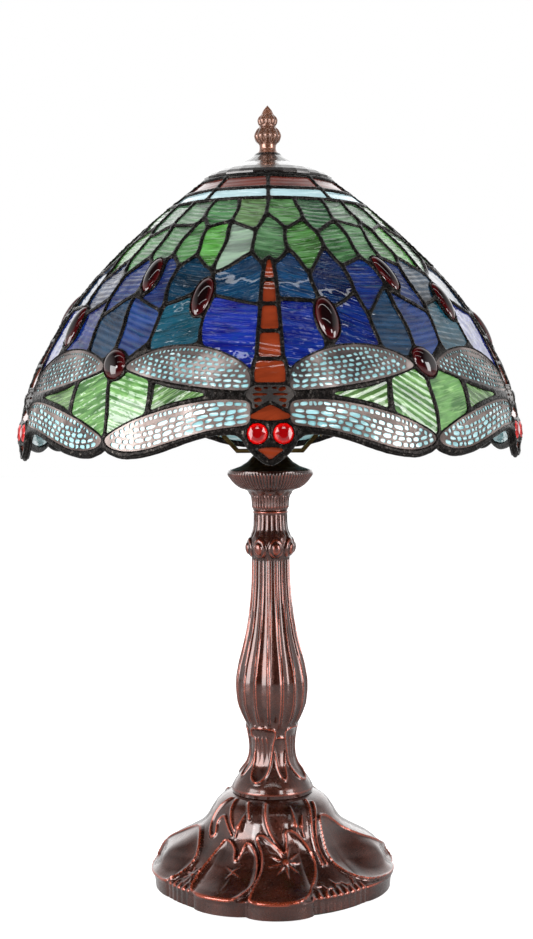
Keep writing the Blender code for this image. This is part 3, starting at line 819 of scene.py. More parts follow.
def field_glass(pieces):
    """Glass of the fields, bodies and bands, one object for each CAD node that it stands for."""
    looks = {
        "green": streaky_glass("green_glass", "7fae7c", 0.4),
        "blue": streaky_glass("blue_glass", "0c4460", 0.4),
        # painted highlight: the leaf glass's pale wisps are partly its own streaks and partly stand in for
        # light caught on the rolled surface
        "leaf": streaky_glass("leaf_glass", "a4d084", 0.45, 0.35, 1.3),
        "body": streaky_glass("rust_glass", "96391c", 0.15, 0.2, 0.2),
        "red_band": streaky_glass("oxblood_glass", "7a4238", 0.3, 0.3, 0.3),
        "aqua_band": streaky_glass("aqua_glass", "e6f6f8", 0.5, 0.1, 0.3),
    }
    plan = [(("green",), None, "green_glass_field", "green_glass", "green_field"),
            (("red_band",), None, "oxblood_glass_band", "rust_red_glass", "crown_band_red"),
            (("aqua_band",), None, "aqua_glass_band", "aqua_glass", "crown_band_aqua")]
    for i in range(DRAGONFLIES):
        plan.append((("blue",), i, f"blue_glass_{i + 1}", "blue_glass", f"blue_field_{i + 1}"))
        plan.append((("leaf",), i, f"leaf_glass_{i + 1}", "green_glass", f"leaf_gusset_{i + 1}"))
        kinds = ("body", *SHAPES)
        plan.append((kinds, i, f"body_glass_{i + 1}", "rust_red_glass", f"dragonfly_{i + 1}_body"))
    for kinds, sector, name, slot, replaced in plan:
        build = Build()
        for piece in pieces:
            if piece["kind"] in kinds and sector in (None, piece["sector"]):
                code = piece.get("colour") or PLAIN_TINTS[kinds[0]]
                tint = np.array(tone(code)) * RNG.uniform(0.85, 1.15) * TINT_DEPTH[kinds[0]]
                lean = math.radians(GRAIN_LEAN[kinds[0]] * RNG.uniform(-1, 1))
                smooth = piece["kind"] not in ("green", "blue", "leaf")
                drop = 1.6 if piece["kind"] == "thorax" else 0.2
                pane_solid(build, piece, tint, lean, drop, 0.05 if smooth else 0.22)
        finish_piece(build.make(name, looks[kinds[0]]), "shade", replaced, sharp=40)


# ---------------------------------------------------------------- shade: wings and jewels


def edge_heights(loop, x):
    """Lowest and highest y of a closed flat loop at each x."""
    ax, ay = loop.T
    bx, by = np.roll(ax, -1), np.roll(ay, -1)
    low, high = [], []
    for at in x:
        crossed = (ax > at) != (bx > at)
        y = ay[crossed] + (at - ax[crossed]) * (by - ay)[crossed] / (bx - ax)[crossed]
        low.append(y.min() if len(y) else 0.0)
        high.append(y.max() if len(y) else 0.0)
    return np.array(low), np.array(high)


def window_loop(centre, half_length, half_height, slope, tumble=0.05):
    """A small rounded window, a little irregular, and turned by up to tumble radians."""
    turns = np.linspace(0, 2 * math.pi, WINDOW_POINTS, endpoint=False)
    c, s = np.cos(turns), np.sin(turns)
    power = 2 / RNG.uniform(2.4, 3.6)
    x = half_length * np.sign(c) * np.abs(c) ** power
    y = half_height * np.sign(s) * np.abs(s) ** power
    y *= 1 + RNG.uniform(-0.22, 0.22) * x / half_length
    x += RNG.uniform(-0.35, 0.35) * y
    lean = math.atan(slope) + RNG.uniform(-tumble, tumble) * min(1.0, 3.0 / half_length)
    c, s = math.cos(lean), math.sin(lean)
    return centre + np.stack([x * c - y * s, x * s + y * c], axis=1)


def squeezed(window, loop, patch, clearance):
    """The window pushed inside the wing's border, or None if little of it is left."""
    for _ in range(3):
        distance = loop_distance(patch.to_chart(window), loop)
        pushed = np.maximum(distance + clearance, 0)
        if not pushed.any():
            break
        shifted = [loop_distance(patch.to_chart(window + step), loop) for step in ((0.1, 0), (0, 0.1))]
        steep = np.stack(shifted, axis=1) - distance[:, None]
        steep /= np.maximum(np.hypot(*steep.T)[:, None], 1e-6)
        window = window - steep * pushed[:, None]
    too_near = (loop_distance(patch.to_chart(window), loop) > -0.6 * clearance).any()
    return None if abs(signed_area(window)) < MIN_WINDOW or too_near else window


def wing_windows(wing, patch):
    """Outlines of a wing's windows: rows along its lower edge, then small ones along its upper edge."""
    look = WING_LOOKS[wing["kind"]]
    loop = patch.from_chart(wing["loop"])
    loop = loop * (wing["side"], 1)
    x = np.linspace(loop[:, 0].min() + 0.5, loop[:, 0].max() - 0.5, 90)
    low, high = edge_heights(loop, x)
    pitch = look["height"] + look["wall"]
    windows = []
    rows = int((high - low).max() / pitch) + 1
    for row in range(rows):
        along = low + look["border"] + (row + 0.5) * pitch
        inside = along < high - look["border"] - 1.3 * pitch
        windows += window_row(x, along, inside, look, 1.0)
    windows += window_row(x, high - look["border"] - 0.55 * pitch, high - low > 2 * pitch, look, 0.55)
    fitted = [squeezed(w * (wing["side"], 1), wing["loop"], patch, look["border"]) for w in windows]
    return [w for w in fitted if w is not None]


def window_row(x, y, inside, look, stretch):
    """Windows of one row along the curve of y over x, where inside is true."""
    made = []
    slope = np.gradient(y, x)
    at = x[0] + RNG.uniform(0, 3)
    while at < x[-1]:
        share = (at - x[0]) / (x[-1] - x[0])
        length = RNG.uniform(*look["lengths"]) * stretch * (1.1 - 0.35 * share)
        length = max(length, 1.7)
        centre = at + length / 2
        if centre < x[-1] and np.interp(centre, x, inside) > 0.5:
            height = look["height"] * RNG.uniform(0.75, 1.08)
            lift = RNG.uniform(-0.2, 0.2)
            place = np.array([centre, np.interp(centre, x, y) + lift])
            lean = np.interp(centre, x, slope)
            made.append(window_loop(place, length / 2, height / 2, lean, look["tumble"]))
        at += length + look["wall"]
    return made


def openwork(piece, windows, patch, bottom):
    """A thin metal sheet with windows, a little past the piece's outline."""
    points, faces = cut_sheet(widened(patch.from_chart(piece["loop"]), 0.3), windows, [])
    chart = patch.to_chart(points)
    return thicken(on_shade(chart, WING_TOP), on_shade(chart, bottom), faces)


def wings(pieces):
    looks = {
        "upper": filigree_material("upper_wing_metal", "2f2829", "5c524f", "988c88"),
        "lower": filigree_material("lower_wing_metal", "352a26", "5e504b", "90837e"),
    }
    glass = streaky_glass("wing_glass", "f0fafa", 0.6, 0.12, 0.5)
    for sector in range(DRAGONFLIES):
        build = Build()
        for piece in pieces:
            if piece["kind"] not in looks or piece["sector"] != sector:
                continue
            patch = Patch(*piece["loop"].mean(axis=0))
            verts, faces = openwork(piece, wing_windows(piece, patch), patch, WING_GLASS + 0.05)
            node_name = f"dragonfly_{sector + 1}_{piece['kind']}_wing_{piece['word']}"
            obj = make_object(f"{node_name}_filigree", verts, faces, looks[piece["kind"]])
            finish_piece(obj, "shade", node_name, sharp=40)
            wing_glass(build, piece, patch)
        finish_piece(build.make(f"wing_glass_{sector + 1}", glass), "shade", sharp=40)


def wing_glass(build, piece, patch):
    """Pale glass under a wing's openwork, bent to the shade."""
    outline = patch.from_chart(piece["loop"])
    grid = hex_grid(outline.min(axis=0), outline.max(axis=0), 3.0)
    grid = grid[loop_distance(patch.to_chart(grid), piece["loop"]) < -1.5]
    points, faces = cut_sheet(outline, [], grid)
    seed = RNG.uniform(0, 50)
    out = WING_GLASS - 0.12 + 0.12 * ripple(np.column_stack([points, np.full(len(points), seed)]), 4.0)
    chart = patch.to_chart(points)
    verts, solid = thicken(on_shade(chart, out), on_shade(chart, out - GLASS), faces)
    grain = np.column_stack([points, np.full(len(points), seed)])
    build.add(verts, solid, tint=(*tone(WING_TINT), 1.0), grain=np.concatenate([grain, grain]))


def domed(build, loop, rise, foot, rings):
    """An oval cabochon inside a chart loop."""
    at = loop.mean(axis=0)
    reaches = [math.sin(math.pi / 2 * k / rings) for k in range(1, rings + 1)]
    verts = []
    for reach in reaches:
        dome = 0.3 + rise * math.sqrt(max(0.0, 1 - reach**2))
        verts.append(on_shade(at + (loop - at) * reach, dome))
    verts.append(on_shade(loop, foot))
    verts = np.concatenate([on_shade(at[None], 0.3 + rise), *verts, on_shade(at[None], foot)])
    count, last = len(loop), len(verts) - 1
    faces = []
    for j in range(count):
        k = (j + 1) % count
        faces.append([0, 1 + j, 1 + k])
        for row in range(rings):
            a = 1 + row * count
            faces.append([a + j, a + count + j, a + count + k, a + k])
        faces.append([last, 1 + rings * count + k, 1 + rings * count + j])
    # The edge share brightens the dome towards its foot with painted glow.
    edge = np.concatenate([[0], np.repeat(reaches, count), np.ones(count + 1)])
    build.add(verts, faces, edge=edge)


def faceted(build, at):
    """A round cut stone: a flat table, a ring of kites and a ring of small facets."""
    patch = Patch(*at)
    rings = [(0.46, 8, 0.5, 3.6), (0.82, 8, 0.0, 2.5), (1.0, 16, 0.0, 0.9), (1.0, 16, 0.0, -2.0)]
    verts, starts = [], []
    for share, count, shift, out in rings:
        starts.append(sum(len(v) for v in verts))
        turns = (np.arange(count) + shift) * 2 * math.pi / count
        flat = share * EYE_RADIUS * np.stack([np.cos(turns), np.sin(turns)], axis=1)
        verts.append(on_shade(patch.to_chart(flat), out))
    t, m, g, f = starts
    faces = [[t + j for j in range(8)]]
    for j in range(8):
        k = (j + 1) % 8
        faces += [[t + j, m + j, m + k], [t + j, m + k, t + k], [m + j, g + 2 * j, g + 2 * j + 1]]
        faces += [[m + j, g + 2 * j + 1, m + k], [m + k, g + 2 * j + 1, g + (2 * j + 2) % 16]]
    for j in range(16):
        k = (j + 1) % 16
        faces.append([g + j, f + j, f + k, g + k])
    faces.append([f + j for j in reversed(range(16))])
    # The edge share lights the kites and the small facets with painted glow, and the table least.
    edge = np.concatenate([np.full(8, 0.35), np.full(8, 0.8), np.full(32, 1.0)])
    build.add(np.concatenate(verts), faces, edge=edge)


def jewels(pieces):
    # The rim colours are painted glow of light through the stones, and the core colours are the glass's
    # deep red.
    stone = painted_glow_jewel_material("garnet_glass", "0c0203", "420709", 0.04)
    cut = painted_glow_jewel_material("ruby_glass", "780204", "d80806", 0.02)
    for kind, name, look in (("jewel", "oval_jewels", stone), ("eye", "eye_jewels", cut)):
        build = Build()
        for piece in pieces:
            if piece["kind"] == kind and kind == "eye":
                faceted(build, piece["at"])
            elif piece["kind"] == kind:
                domed(build, piece["loop"], piece["rise"], -2.0, 9)
        obj = build.make(name, look, smooth=kind == "jewel")
        finish_piece(obj, "shade", sharp=60 if kind == "jewel" else None)


def thorax_openwork(pieces, material):
    """Metal openwork over the red glass between a dragonfly's wings."""
    build = Build()
    for piece in pieces:
        if piece["kind"] != "thorax":
            continue
        patch = Patch(*piece["loop"].mean(axis=0))
        windows = [
            window_loop(np.array([x, y]), half_length, half_height, math.tan(math.radians(lean)))
            for x, y, half_length, half_height, lean in THORAX_WINDOWS
        ]
        build.add(*openwork(piece, windows, patch, -0.4))
    finish_piece(build.make("thorax_openwork", material), "shade", sharp=40)


# ---------------------------------------------------------------- shade: solder


def solder(pieces, rim, material):
    """The solder between all the pieces, as one lattice with a rounded bead on both sides."""
    loops = [piece["loop"] for piece in pieces]
    edges = np.concatenate(loops)
    step = np.concatenate([np.roll(loop, -1, 0) - np.roll(loop, 1, 0) for loop in loops])
    outward = np.stack([-step[:, 1], step[:, 0]], axis=1)
    outward /= np.hypot(*outward.T)[:, None]
    gems = ("jewel", "eye")
    raised = np.concatenate([np.full(len(p["loop"]), p["kind"] in gems, float) for p in pieces])
    near = kdtree.KDTree(len(edges))
    for i, point in enumerate(on_shade(edges, 0) / MM):
        near.insert(Vector(point), i)
    near.balance()

    def nearest(chart):
        """Distance in mm from the nearest piece, and that point's place in the lists."""
        found = [near.find(Vector(p)) for p in on_shade(chart, 0) / MM]
        return np.array([f[2] for f in found]), np.array([f[1] for f in found])

    beside = edges + outward * (0.55 / radius_on(edges[:, 1]))[:, None]
    grid = chart_grid(float(depth_of(RED_TOP)), 1.35)
    distance, owner = nearest(grid)
    offset = (grid - edges[owner] + (math.pi, 0)) % (2 * math.pi, 1e9) - (math.pi, 0)
    rim_depth = np.interp(grid[:, 0], rim[:, 0], rim[:, 1], period=2 * math.pi)
    kept = ((offset * outward[owner]).sum(axis=1) > 0) & (distance > 1.05)
    kept &= (rim_depth - grid[:, 1]) * radius_on(grid[:, 1]) > 0.9
    inner = np.concatenate([beside[nearest(beside)[0] > 0.42], grid[kept]])
    top = np.stack([np.linspace(0, 2 * math.pi, 200, endpoint=False),
                    np.full(200, float(depth_of(RED_TOP + 1.2)))], axis=1)
    points, faces = cut_sheet(annulus(rim), [annulus(loop) for loop in [top, *loops]], annulus(inner))
    chart = from_annulus(points)
    distance, owner = nearest(chart)
    share = fade(distance, 0, 1.7)
    bead = np.sqrt(1 - (1 - share) ** 2)
    place = on_shade(chart, 0) / MM
    lumps = (0.3 * ripple(place, 3.4) + 0.2 * ripple(place + 40, 1.4)) * (0.3 + share)
    lip = 1.1 * raised[owner] * hump(distance, 1.0, 0.9) * fade(distance, 0, 0.3)
    outer = on_shade(chart, 0.4 + 1.2 * bead + lumps + lip)
    verts, solid = thicken(outer, on_shade(chart, -GLASS - 0.3 - 0.8 * bead), faces)
    finish_piece(make_object("solder_lattice", verts, solid, material), "shade")


def chart_grid(depth, step):
    """Evenly spread chart points from a depth down to the end of the table."""
    rows = []
    while depth < DEPTHS[-1]:
        radius = float(radius_on(depth))
        count = int(2 * math.pi * radius / step)
        turns = (np.arange(count) + 0.5 * (len(rows) % 2)) * 2 * math.pi / count
        rows.append(np.stack([turns, np.full(count, depth)], axis=1))
        depth += step * 0.866 / radius
    return np.concatenate(rows)


def rim_wire(rim, material):
    """The rounded bead that finishes the scalloped lower edge, as a closed ring of tube."""
    path = on_shade(rim, -0.5 * GLASS)
    radius = 1.75 + 0.18 * ripple(path / MM, 5.0)
    ahead = np.roll(path, -1, 0) - np.roll(path, 1, 0)
    ahead /= np.linalg.norm(ahead, axis=1)[:, None]
    out = path * (1, 1, 0)
    out /= np.linalg.norm(out, axis=1)[:, None]
    side = np.cross(ahead, out)
    out = np.cross(side, ahead)
    turns = np.linspace(0, 2 * math.pi, WIRE_SIDES, endpoint=False)
    c, s = np.cos(turns)[None, :, None], np.sin(turns)[None, :, None]
    spokes = out[:, None, :] * c + side[:, None, :] * s
    verts = (path[:, None, :] + MM * radius[:, None, None] * spokes).reshape(-1, 3)
    obj = make_object("rim_wire", verts, ring_faces(len(path), WIRE_SIDES), material)
    finish_piece(obj, "shade")


# ---------------------------------------------------------------- castings


class Relief:
    """The ornament of a turned casting, on a grid of azimuth and length along its outer profile."""

    def __init__(self, profile, around, step):
        corners = np.array(profile, float)
        along = np.concatenate([[0], np.cumsum(np.hypot(*np.diff(corners, axis=0).T))])
        self.along = np.linspace(0, along[-1], int(along[-1] / step) + 1)
        self.radius = np.interp(self.along, along, corners[:, 0])
        self.z = np.interp(self.along, along, corners[:, 1])
        for _ in range(4):
            for line in (self.radius, self.z):
                line[1:-1] = (line[:-2] + 2 * line[1:-1] + line[2:]) / 4
        tangent = np.stack([np.gradient(self.radius), np.gradient(self.z)])
        self.normal = np.stack([-tangent[1], tangent[0]]) / np.hypot(*tangent)
        self.azimuth = np.linspace(-math.pi, math.pi, around, endpoint=False)
        self.height = np.zeros((around, len(self.along)))

    def flat(self, points):
        """(azimuth in degrees, height) as (radians, length along the profile)."""
        table = np.array(points, float)
        order = np.argsort(self.z)
        along = np.interp(table[:, 1], self.z[order], self.along[order])
        return np.stack([np.radians(table[:, 0]), along], axis=1)

    def around(self, turn, along, reach):
        """The part of the grid near a place, with its offsets from there to the right and down in mm."""
        wide = wrapped(self.azimuth - turn)
        rows = np.where(np.abs(self.along - along) < reach)[0]
        span = reach / self.radius[rows].min() if len(rows) else 0
        columns = np.where(np.abs(wide) < span)[0]
        x = wide[columns][:, None] * self.radius[rows][None, :]
        y = np.broadcast_to(self.along[rows] - along, x.shape)
        return np.ix_(columns, rows), x, y

    def distance(self, path, closed):
        """Distance of the nearby grid from a path, where on the path that is, and if it is inside."""
        turn, along = path.mean(axis=0)
        spread = np.abs((path - (turn, along)) * (self.radius.max(), 1)).max() + 8
        where, x, y = self.around(turn, along, spread)
        radius = self.radius[where[1].ravel()]
        best, share, inside = np.full(x.shape, 1e9), np.zeros(x.shape), np.zeros(x.shape, bool)
        stretches = len(path) if closed else len(path) - 1
        for i in range(stretches):
            a, b = path[i], path[(i + 1) % len(path)]
            ax, bx = (a[0] - turn) * radius, (b[0] - turn) * radius
            ay, by = a[1] - along, b[1] - along
            ux, uy = bx - ax, by - ay
            t = np.clip(((x - ax) * ux + (y - ay) * uy) / (ux**2 + uy**2 + 1e-9), 0, 1)
            d = np.hypot(x - ax - t * ux, y - ay - t * uy)
            closer = d < best
            best = np.where(closer, d, best)
            share = np.where(closer, (i + t) / stretches, share)
            crossed = (ay > y) != (by > y)
            inside ^= crossed & (x < ax + (y - ay) * ux / (by - ay if by != ay else 1e-9))
        return where, best, share, inside

    def ridge(self, points, width, height, taper=0.0):
        """A rounded ridge along the points, thinner towards its far end if tapered."""
        where, d, share, _ = self.distance(open_curve(self.flat(points), 6), False)
        size = 1 - taper * share
        crest = height * size * np.exp(-(d / (width * np.maximum(size, 0.15))) ** 2)
        self.height[where] = np.maximum(self.height[where], self.height[where] * 0.4 + crest)

    def pad(self, points, lift, rim, dish=0.5):
        """A leaf inside the points: lifted, with a raised rim and a hollow middle, over what is there."""
        where, d, _, inside = self.distance(smooth_loop(self.flat(points), 6), True)
        depth = np.where(inside, d, -d)
        cover = np.clip(depth / 1.6 + 0.5, 0, 1)
        cover = cover * cover * (3 - 2 * cover)
        leaf = lift - dish * (1 - np.exp(-np.maximum(depth, 0) / 5)) + rim * hump(depth, 0.6, 1.1)
        self.height[where] = self.height[where] * (1 - cover) + leaf * cover

    def flower(self, azimuth, z, petals, length, width, height, start=0.0, ball=0.0, sharp=False):
        """Petals round a centre, slim and pointed if sharp, with a ball in the middle."""
        at = self.flat([(azimuth, z)])[0]
        where, x, y = self.around(at[0], at[1], length + 4)
        raised = np.zeros(x.shape)
        for k in range(petals):
            turn = start + 2 * math.pi * k / petals
            along = x * math.sin(turn) - y * math.cos(turn)
            across = x * math.cos(turn) + y * math.sin(turn)
            share = np.clip(along / length, 0, 1)
            rounded = np.sqrt(np.clip(np.sin(math.pi * share ** 0.8), 0, 1))
            size = width * ((1 - share) ** 0.8 if sharp else rounded)
            petal = np.clip(1 - (across / np.maximum(size, 0.05)) ** 2, 0, 1) * (along > 0) * (share < 1)
            raised = np.maximum(raised, height * petal * (1 - 0.35 * share))
        reach = np.hypot(x, y)
        if ball:
            raised = np.maximum(raised, 1.5 * height * np.sqrt(np.clip(1 - (reach / ball) ** 2, 0, 1)))
        self.height[where] = self.height[where] + raised

    def solid(self, inner, grown=None):
        """Verts, faces and wear of the closed casting: the ornamented outside and the plain inside."""
        height = self.height
        radius = self.radius[None, :] + self.normal[0][None, :] * height
        z = self.z[None, :] + self.normal[1][None, :] * height
        if grown is not None:
            radius = radius + grown
        inner = np.array(inner, float)
        count = len(self.azimuth)
        radius = np.concatenate([radius, np.broadcast_to(inner[:, 0], (count, len(inner)))], axis=1)
        z = np.concatenate([z, np.broadcast_to(inner[:, 1], (count, len(inner)))], axis=1)
        turn = self.azimuth[:, None]
        verts = MM * np.stack([radius * np.sin(turn), -radius * np.cos(turn), z], axis=2).reshape(-1, 3)
        soft = height.copy()
        for _ in range(14):
            soft = (np.roll(soft, 1, 0) + np.roll(soft, -1, 0) + 2 * soft) / 4
            soft[:, 1:-1] = (soft[:, :-2] + soft[:, 2:] + 2 * soft[:, 1:-1]) / 4
        wear = np.zeros(radius.shape)
        wear[:, :height.shape[1]] = np.clip(0.5 + (height - soft) / 0.9, 0, 1)
        return verts, ring_faces(count, radius.shape[1]), wear.ravel()


def cast_piece(name, relief, inner, material, body, node_name, grown=None):
    verts, faces, wear = relief.solid(inner, grown)
    obj = make_object(name, verts, faces, material, attributes=[("wear", "FLOAT", wear)])
    finish_piece(obj, body, node_name, sharp=60)


BASE_PROFILE = [
    (33, 75.7), (37, 74.4), (41.5, 72.2), (45.5, 68.8), (50, 62), (56, 49.5), (62, 40), (71, 30),
    (82, 22), (90, 16.8), (93.6, 13.4), (94, 12), (94, 1.8),
]
BASE_INNER = [
    (90, 1.8), (89.5, 9.5), (79, 18), (67, 26.5), (58, 37.5), (51, 50), (44, 61.5), (36, 68.5),
    (28, 71.8), (5.4, 71.8), (5.4, 75.7),
]
# Lobes of the foot: (azimuth, half width in degrees, how far they stand out)
LILY_PADS = [
    (3, 16, 10.5), (-26, 15, 5.5), (-80, 18, 2.5), (70, 19, 3), (105, 16, 3), (163, 16, 5.5),
    (194, 15, 10), (248, 14, 5.5),
]
BRIM, BRIM_HALF, BRIM_TURNS = 17.0, 42, (-97, 97)  # the side pads stand out like a table's edge
BACK_TURN = 191  # the ornament of the front is repeated round the back, turned this many degrees

HEART_PAD = [
    (7.5, 41.5), (0, 48), (-6, 53), (-12, 53.5), (-13.5, 49), (-9, 40), (-8, 30), (-11, 18),
    (-11, 13.5), (-2, 12.6), (7, 12.8), (16, 15.5), (24, 23), (28.5, 33), (27, 43), (21, 53), (14, 57),
    (9.5, 55), (9, 48),
]
VEINED_PAD = [
    (-25, 35.5), (-28, 42.5), (-34, 47), (-40, 47), (-45, 36), (-46.5, 27), (-44, 15), (-39, 12.8),
    (-27, 12.6), (-18, 13.5), (-11, 20), (-9, 28), (-10.5, 38), (-16, 46.5), (-22, 46.5),
]
STEM = [(-8, 73.5), (-7, 66.5), (-4, 58), (0.5, 50), (6, 42.5)]
VEIN = [(-25, 35.5), (-24, 28.5), (-25, 20), (-27, 13.5)]
REEDS = [
    [(44, 74), (38, 64.5), (34.5, 54), (33, 41), (33, 31)],
    [(50, 72), (41, 60), (36.5, 48), (35.5, 38.5), (36.5, 31)],
]
LONG_LEAF = [
    (46, 62), (41.5, 46), (40, 36), (42, 28), (47, 21.5), (54, 17), (64, 14.8), (80, 13.8), (96, 15),
    (99, 24), (90, 32), (80, 42), (66, 56), (55, 63),
]
FAR_LEAF = [
    (-62, 14), (-57, 24), (-60, 36), (-68, 46), (-80, 50), (-92, 44), (-99, 30), (-100, 18),
    (-90, 13.8), (-76, 13.2),
]
CURLS = [
    [
        (-60, 74), (-66, 64), (-65, 54), (-58, 46.5), (-54, 49), (-57, 58), (-51, 62.5), (-43, 57),
        (-36, 51),
    ],
    [(-50, 74), (-45, 67), (-40, 60), (-34, 54)],
    [(-30, 74), (-25, 69), (-22.5, 64)],
]
BUDS = [((-31, 57), (-26, 70), 3.3), ((20, 59), (19.5, 72.5), 3.0), ((25, 58), (30, 67.5), 2.8)]
FANS = [(-52.5, 9.5, 5), (34, 17, 9)]


def base_ornament(relief, turn, whole):
    """Lily pads, flowers, buds and reeds. whole adds the two wide leaves at the sides."""
    def moved(points):
        return [(azimuth + turn, z) for azimuth, z in points]

    for line in CURLS:
        relief.ridge(moved(line), 1.5, 1.8, 0.2)
    for line in REEDS:
        relief.ridge(moved(line), 1.5, 2.0)
    if whole:
        relief.pad(LONG_LEAF, 2.0, 1.2, 2.4)
        relief.pad(FAR_LEAF, 2.0, 1.2, 2.4)
    relief.pad(moved(VEINED_PAD), 2.6, 1.1, 1.9)
    relief.pad(moved(HEART_PAD), 3.0, 1.1, 2.1)
    relief.ridge(moved(VEIN), 1.3, 1.0, 0.3)
    relief.ridge(moved(STEM), 1.7, 2.4)
    relief.flower(8 + turn, 35, 9, 14, 2.0, 1.3, 0.3, 3.4, True)
    relief.flower(-24 + turn, 28, 4, 9, 1.4, 1.0, 0.5, 0, True)
    relief.flower(-50 + turn, 21.5, 8, 9.5, 2.3, 1.3, 0.2, 2.2)
    for start, end, size in BUDS:
        relief.ridge(moved([start, end]), size, 2.6, 0.9)
        relief.ridge(moved([start, (start[0] * 1.04, start[1] - 7)]), 1.3, 1.4, 0.3)
    for azimuth in (22, 28, 34, 40, 46):
        relief.flower(azimuth + turn, 17.5 + (azimuth % 4), 3, 6.5, 1.1, 1.0, -0.5, 0, True)


def base(material):
    relief = Relief(BASE_PROFILE, 640, 0.85)
    degrees, z = np.degrees(relief.azimuth)[:, None], relief.z[None, :]
    base_ornament(relief, BACK_TURN, False)
    base_ornament(relief, 0, True)
    for turn in (0, BACK_TURN):
        for centre, half, count in FANS:
            away = wrapped(degrees - centre - turn, 360)
            ribs = 0.5 + 0.5 * np.cos(away / half * count * math.pi)
            relief.height += 1.9 * ribs * (np.abs(away) < half) * fade(z, 19, -5)
    reach, sides = np.zeros(degrees.shape), np.zeros(degrees.shape)
    for centre, half, depth in LILY_PADS:
        away = wrapped(degrees - centre, 360)
        reach = np.maximum(reach, depth * np.sqrt(np.clip(1 - (away / half) ** 2, 0, 1)))
    for centre in BRIM_TURNS:
        sides = np.maximum(sides, fade(np.abs(wrapped(degrees - centre, 360)), BRIM_HALF, -26))
    sides = sides * sides * (3 - 2 * sides)
    relief.height *= (1 - 0.75 * fade(z, 15, -2)) * fade(relief.along, 0, 6)
    relief.height += 1.1 * hump(z, 13.2, 1.2)
    grown = reach * fade(relief.radius, 58, 36) + BRIM * sides * hump(z, 32, 13.5)
    cast_piece("base_cast", relief, BASE_INNER, material, "base", "base_casting", grown)


COLUMN_PROFILE = [
    (13.6, 306.8), (13.6, 297), (14.5, 290.5), (17.8, 284), (19.6, 277.4), (18.6, 273.5), (15.4, 268.5),
    (15.8, 248), (16.8, 234), (18.4, 221), (20.6, 207), (23.4, 195), (27, 181.5), (29.3, 169),
    (29.4, 160), (28.2, 149), (25.8, 142), (22.6, 135), (19.4, 128.5), (17.6, 119), (17.1, 112),
    (17.8, 105), (20, 99), (22.8, 95.5), (27.6, 89.5), (31.4, 84), (33, 80.5), (33, 76.2),
]
COLUMN_INNER = [(8.0, 76.2), (8.0, 294), (6.2, 300), (6.2, 306.8)]
FLUTES, FLUTE_TURN = 16, 17
RING_BUDS, BUD_TURN = 8, 14
FOOT_GROUPS = 4  # leaves at the column's foot, one group for each quarter
FOOT_LEAF = [
    (-56, 130), (-52, 112), (-48, 99), (-41, 91), (-31, 87.4), (-20, 88), (-10, 93), (-2, 102),
    (3, 114), (6, 130),
]
SMALL_LEAF = [
    (-2, 122), (6, 108), (11, 97), (16, 91.5), (22, 89.6), (28, 92), (33, 99), (38, 109), (44, 122),
]


def column(material):
    relief = Relief(COLUMN_PROFILE, 352, 1.0)
    degrees, z = np.degrees(relief.azimuth)[:, None], relief.z[None, :]
    phase = wrapped((degrees - FLUTE_TURN) / 360 * FLUTES, 1)
    width = relief.radius[None, :] * 2 * math.pi / FLUTES
    ridges = 0.75 * hump(np.abs(phase) * width, 1.0, 0.45)
    hollow = 0.05 * width * np.cos(math.pi * np.clip(np.abs(phase) * 2, 0, 1))
    shaft = fade(z + 6 * np.abs(phase), 133, 4) * fade(z, 269, -2)
    relief.height += (ridges + hollow - 0.9) * shaft
    upper = fade(z, 284, 4) * fade(z, 305, -2)
    relief.height += upper * (0.8 * np.abs(np.cos(math.pi * phase)) ** 0.7 - 0.5)
    spacing = relief.radius[None, :] * 2 * math.pi / RING_BUDS
    across = wrapped((degrees - BUD_TURN) / 360 * RING_BUDS, 1) * spacing
    up = z - 277
    ring = np.hypot(across / (7.6 - 0.25 * np.clip(up, 0, 9)), up / 8.2)
    relief.height += 2.6 * np.sqrt(np.clip(1 - ring**2, 0, 1)) - 1.5 * hump(up, 0, 6)
    core = np.hypot(across / 3.4, (up + 0.8) / 4.6)
    relief.height += 0.9 * np.sqrt(np.clip(1 - core**2, 0, 1)) - 0.5 * hump(core, 1.1, 0.16)
    relief.height += 0.8 * hump(z, 305.6, 0.9)
    for k in range(FOOT_GROUPS):
        turn = k * 360 / FOOT_GROUPS
        for outline, lift, rim in ((SMALL_LEAF, 0.4, 0.9), (FOOT_LEAF, 1.0, 1.0)):
            relief.pad([(azimuth + turn, height) for azimuth, height in outline], lift, rim, 1.6)
        for fold in (-38, -26, -14):
            at = fold + turn
            relief.ridge([(at, 122), (at + 4, 110), (at + 3, 101)], 1.1, 0.8, 0.8)
    relief.height *= fade(z, 76.2, 4)
    relief.height += 0.5 * hump(z, 79.5, 1.4)
    cast_piece("column_cast", relief, COLUMN_INNER, material, "base", "column")


CUP_PROFILE = [
    (34.3, 340), (34.3, 337.4), (26, 329.6), (22, 326.2), (17.6, 322.8), (15, 319.6), (14.3, 313),
    (14.1, 307.1),
]
CUP_INNER = [(6.2, 307.1), (6.2, 319), (12, 323), (22, 329), (30.8, 338.2), (32.9, 338.2), (32.9, 340)]
CUP_FLUTES, NECK_GROOVES = 78, 36


def cup(material):
    relief = Relief(CUP_PROFILE, 720, 0.8)
    turn, z = relief.azimuth[:, None], relief.z[None, :]
    flutes = np.abs(np.sin(turn * CUP_FLUTES / 2)) ** 0.6
    relief.height += 2.0 * np.sin(math.pi * fade(z, 323, 15.5))
    relief.height += 0.95 * flutes * fade(z, 324, 3) * fade(z, 338.5, -1.5)
    grooves = np.abs(np.sin(turn * NECK_GROOVES / 2)) ** 0.6
    relief.height += 0.9 * grooves * fade(z, 319.5, -1) * fade(z, 308.3, 1)
    leafy = 0.5 + 0.5 * np.cos(turn * 12)
    relief.height += (0.5 + 0.9 * leafy) * hump(z + 1.6 * leafy, 322.4, 2.2)
    relief.height += 0.5 * hump(z, 339, 1)
    cast_piece("cup_cast", relief, CUP_INNER, material, "base", "upper_cup")


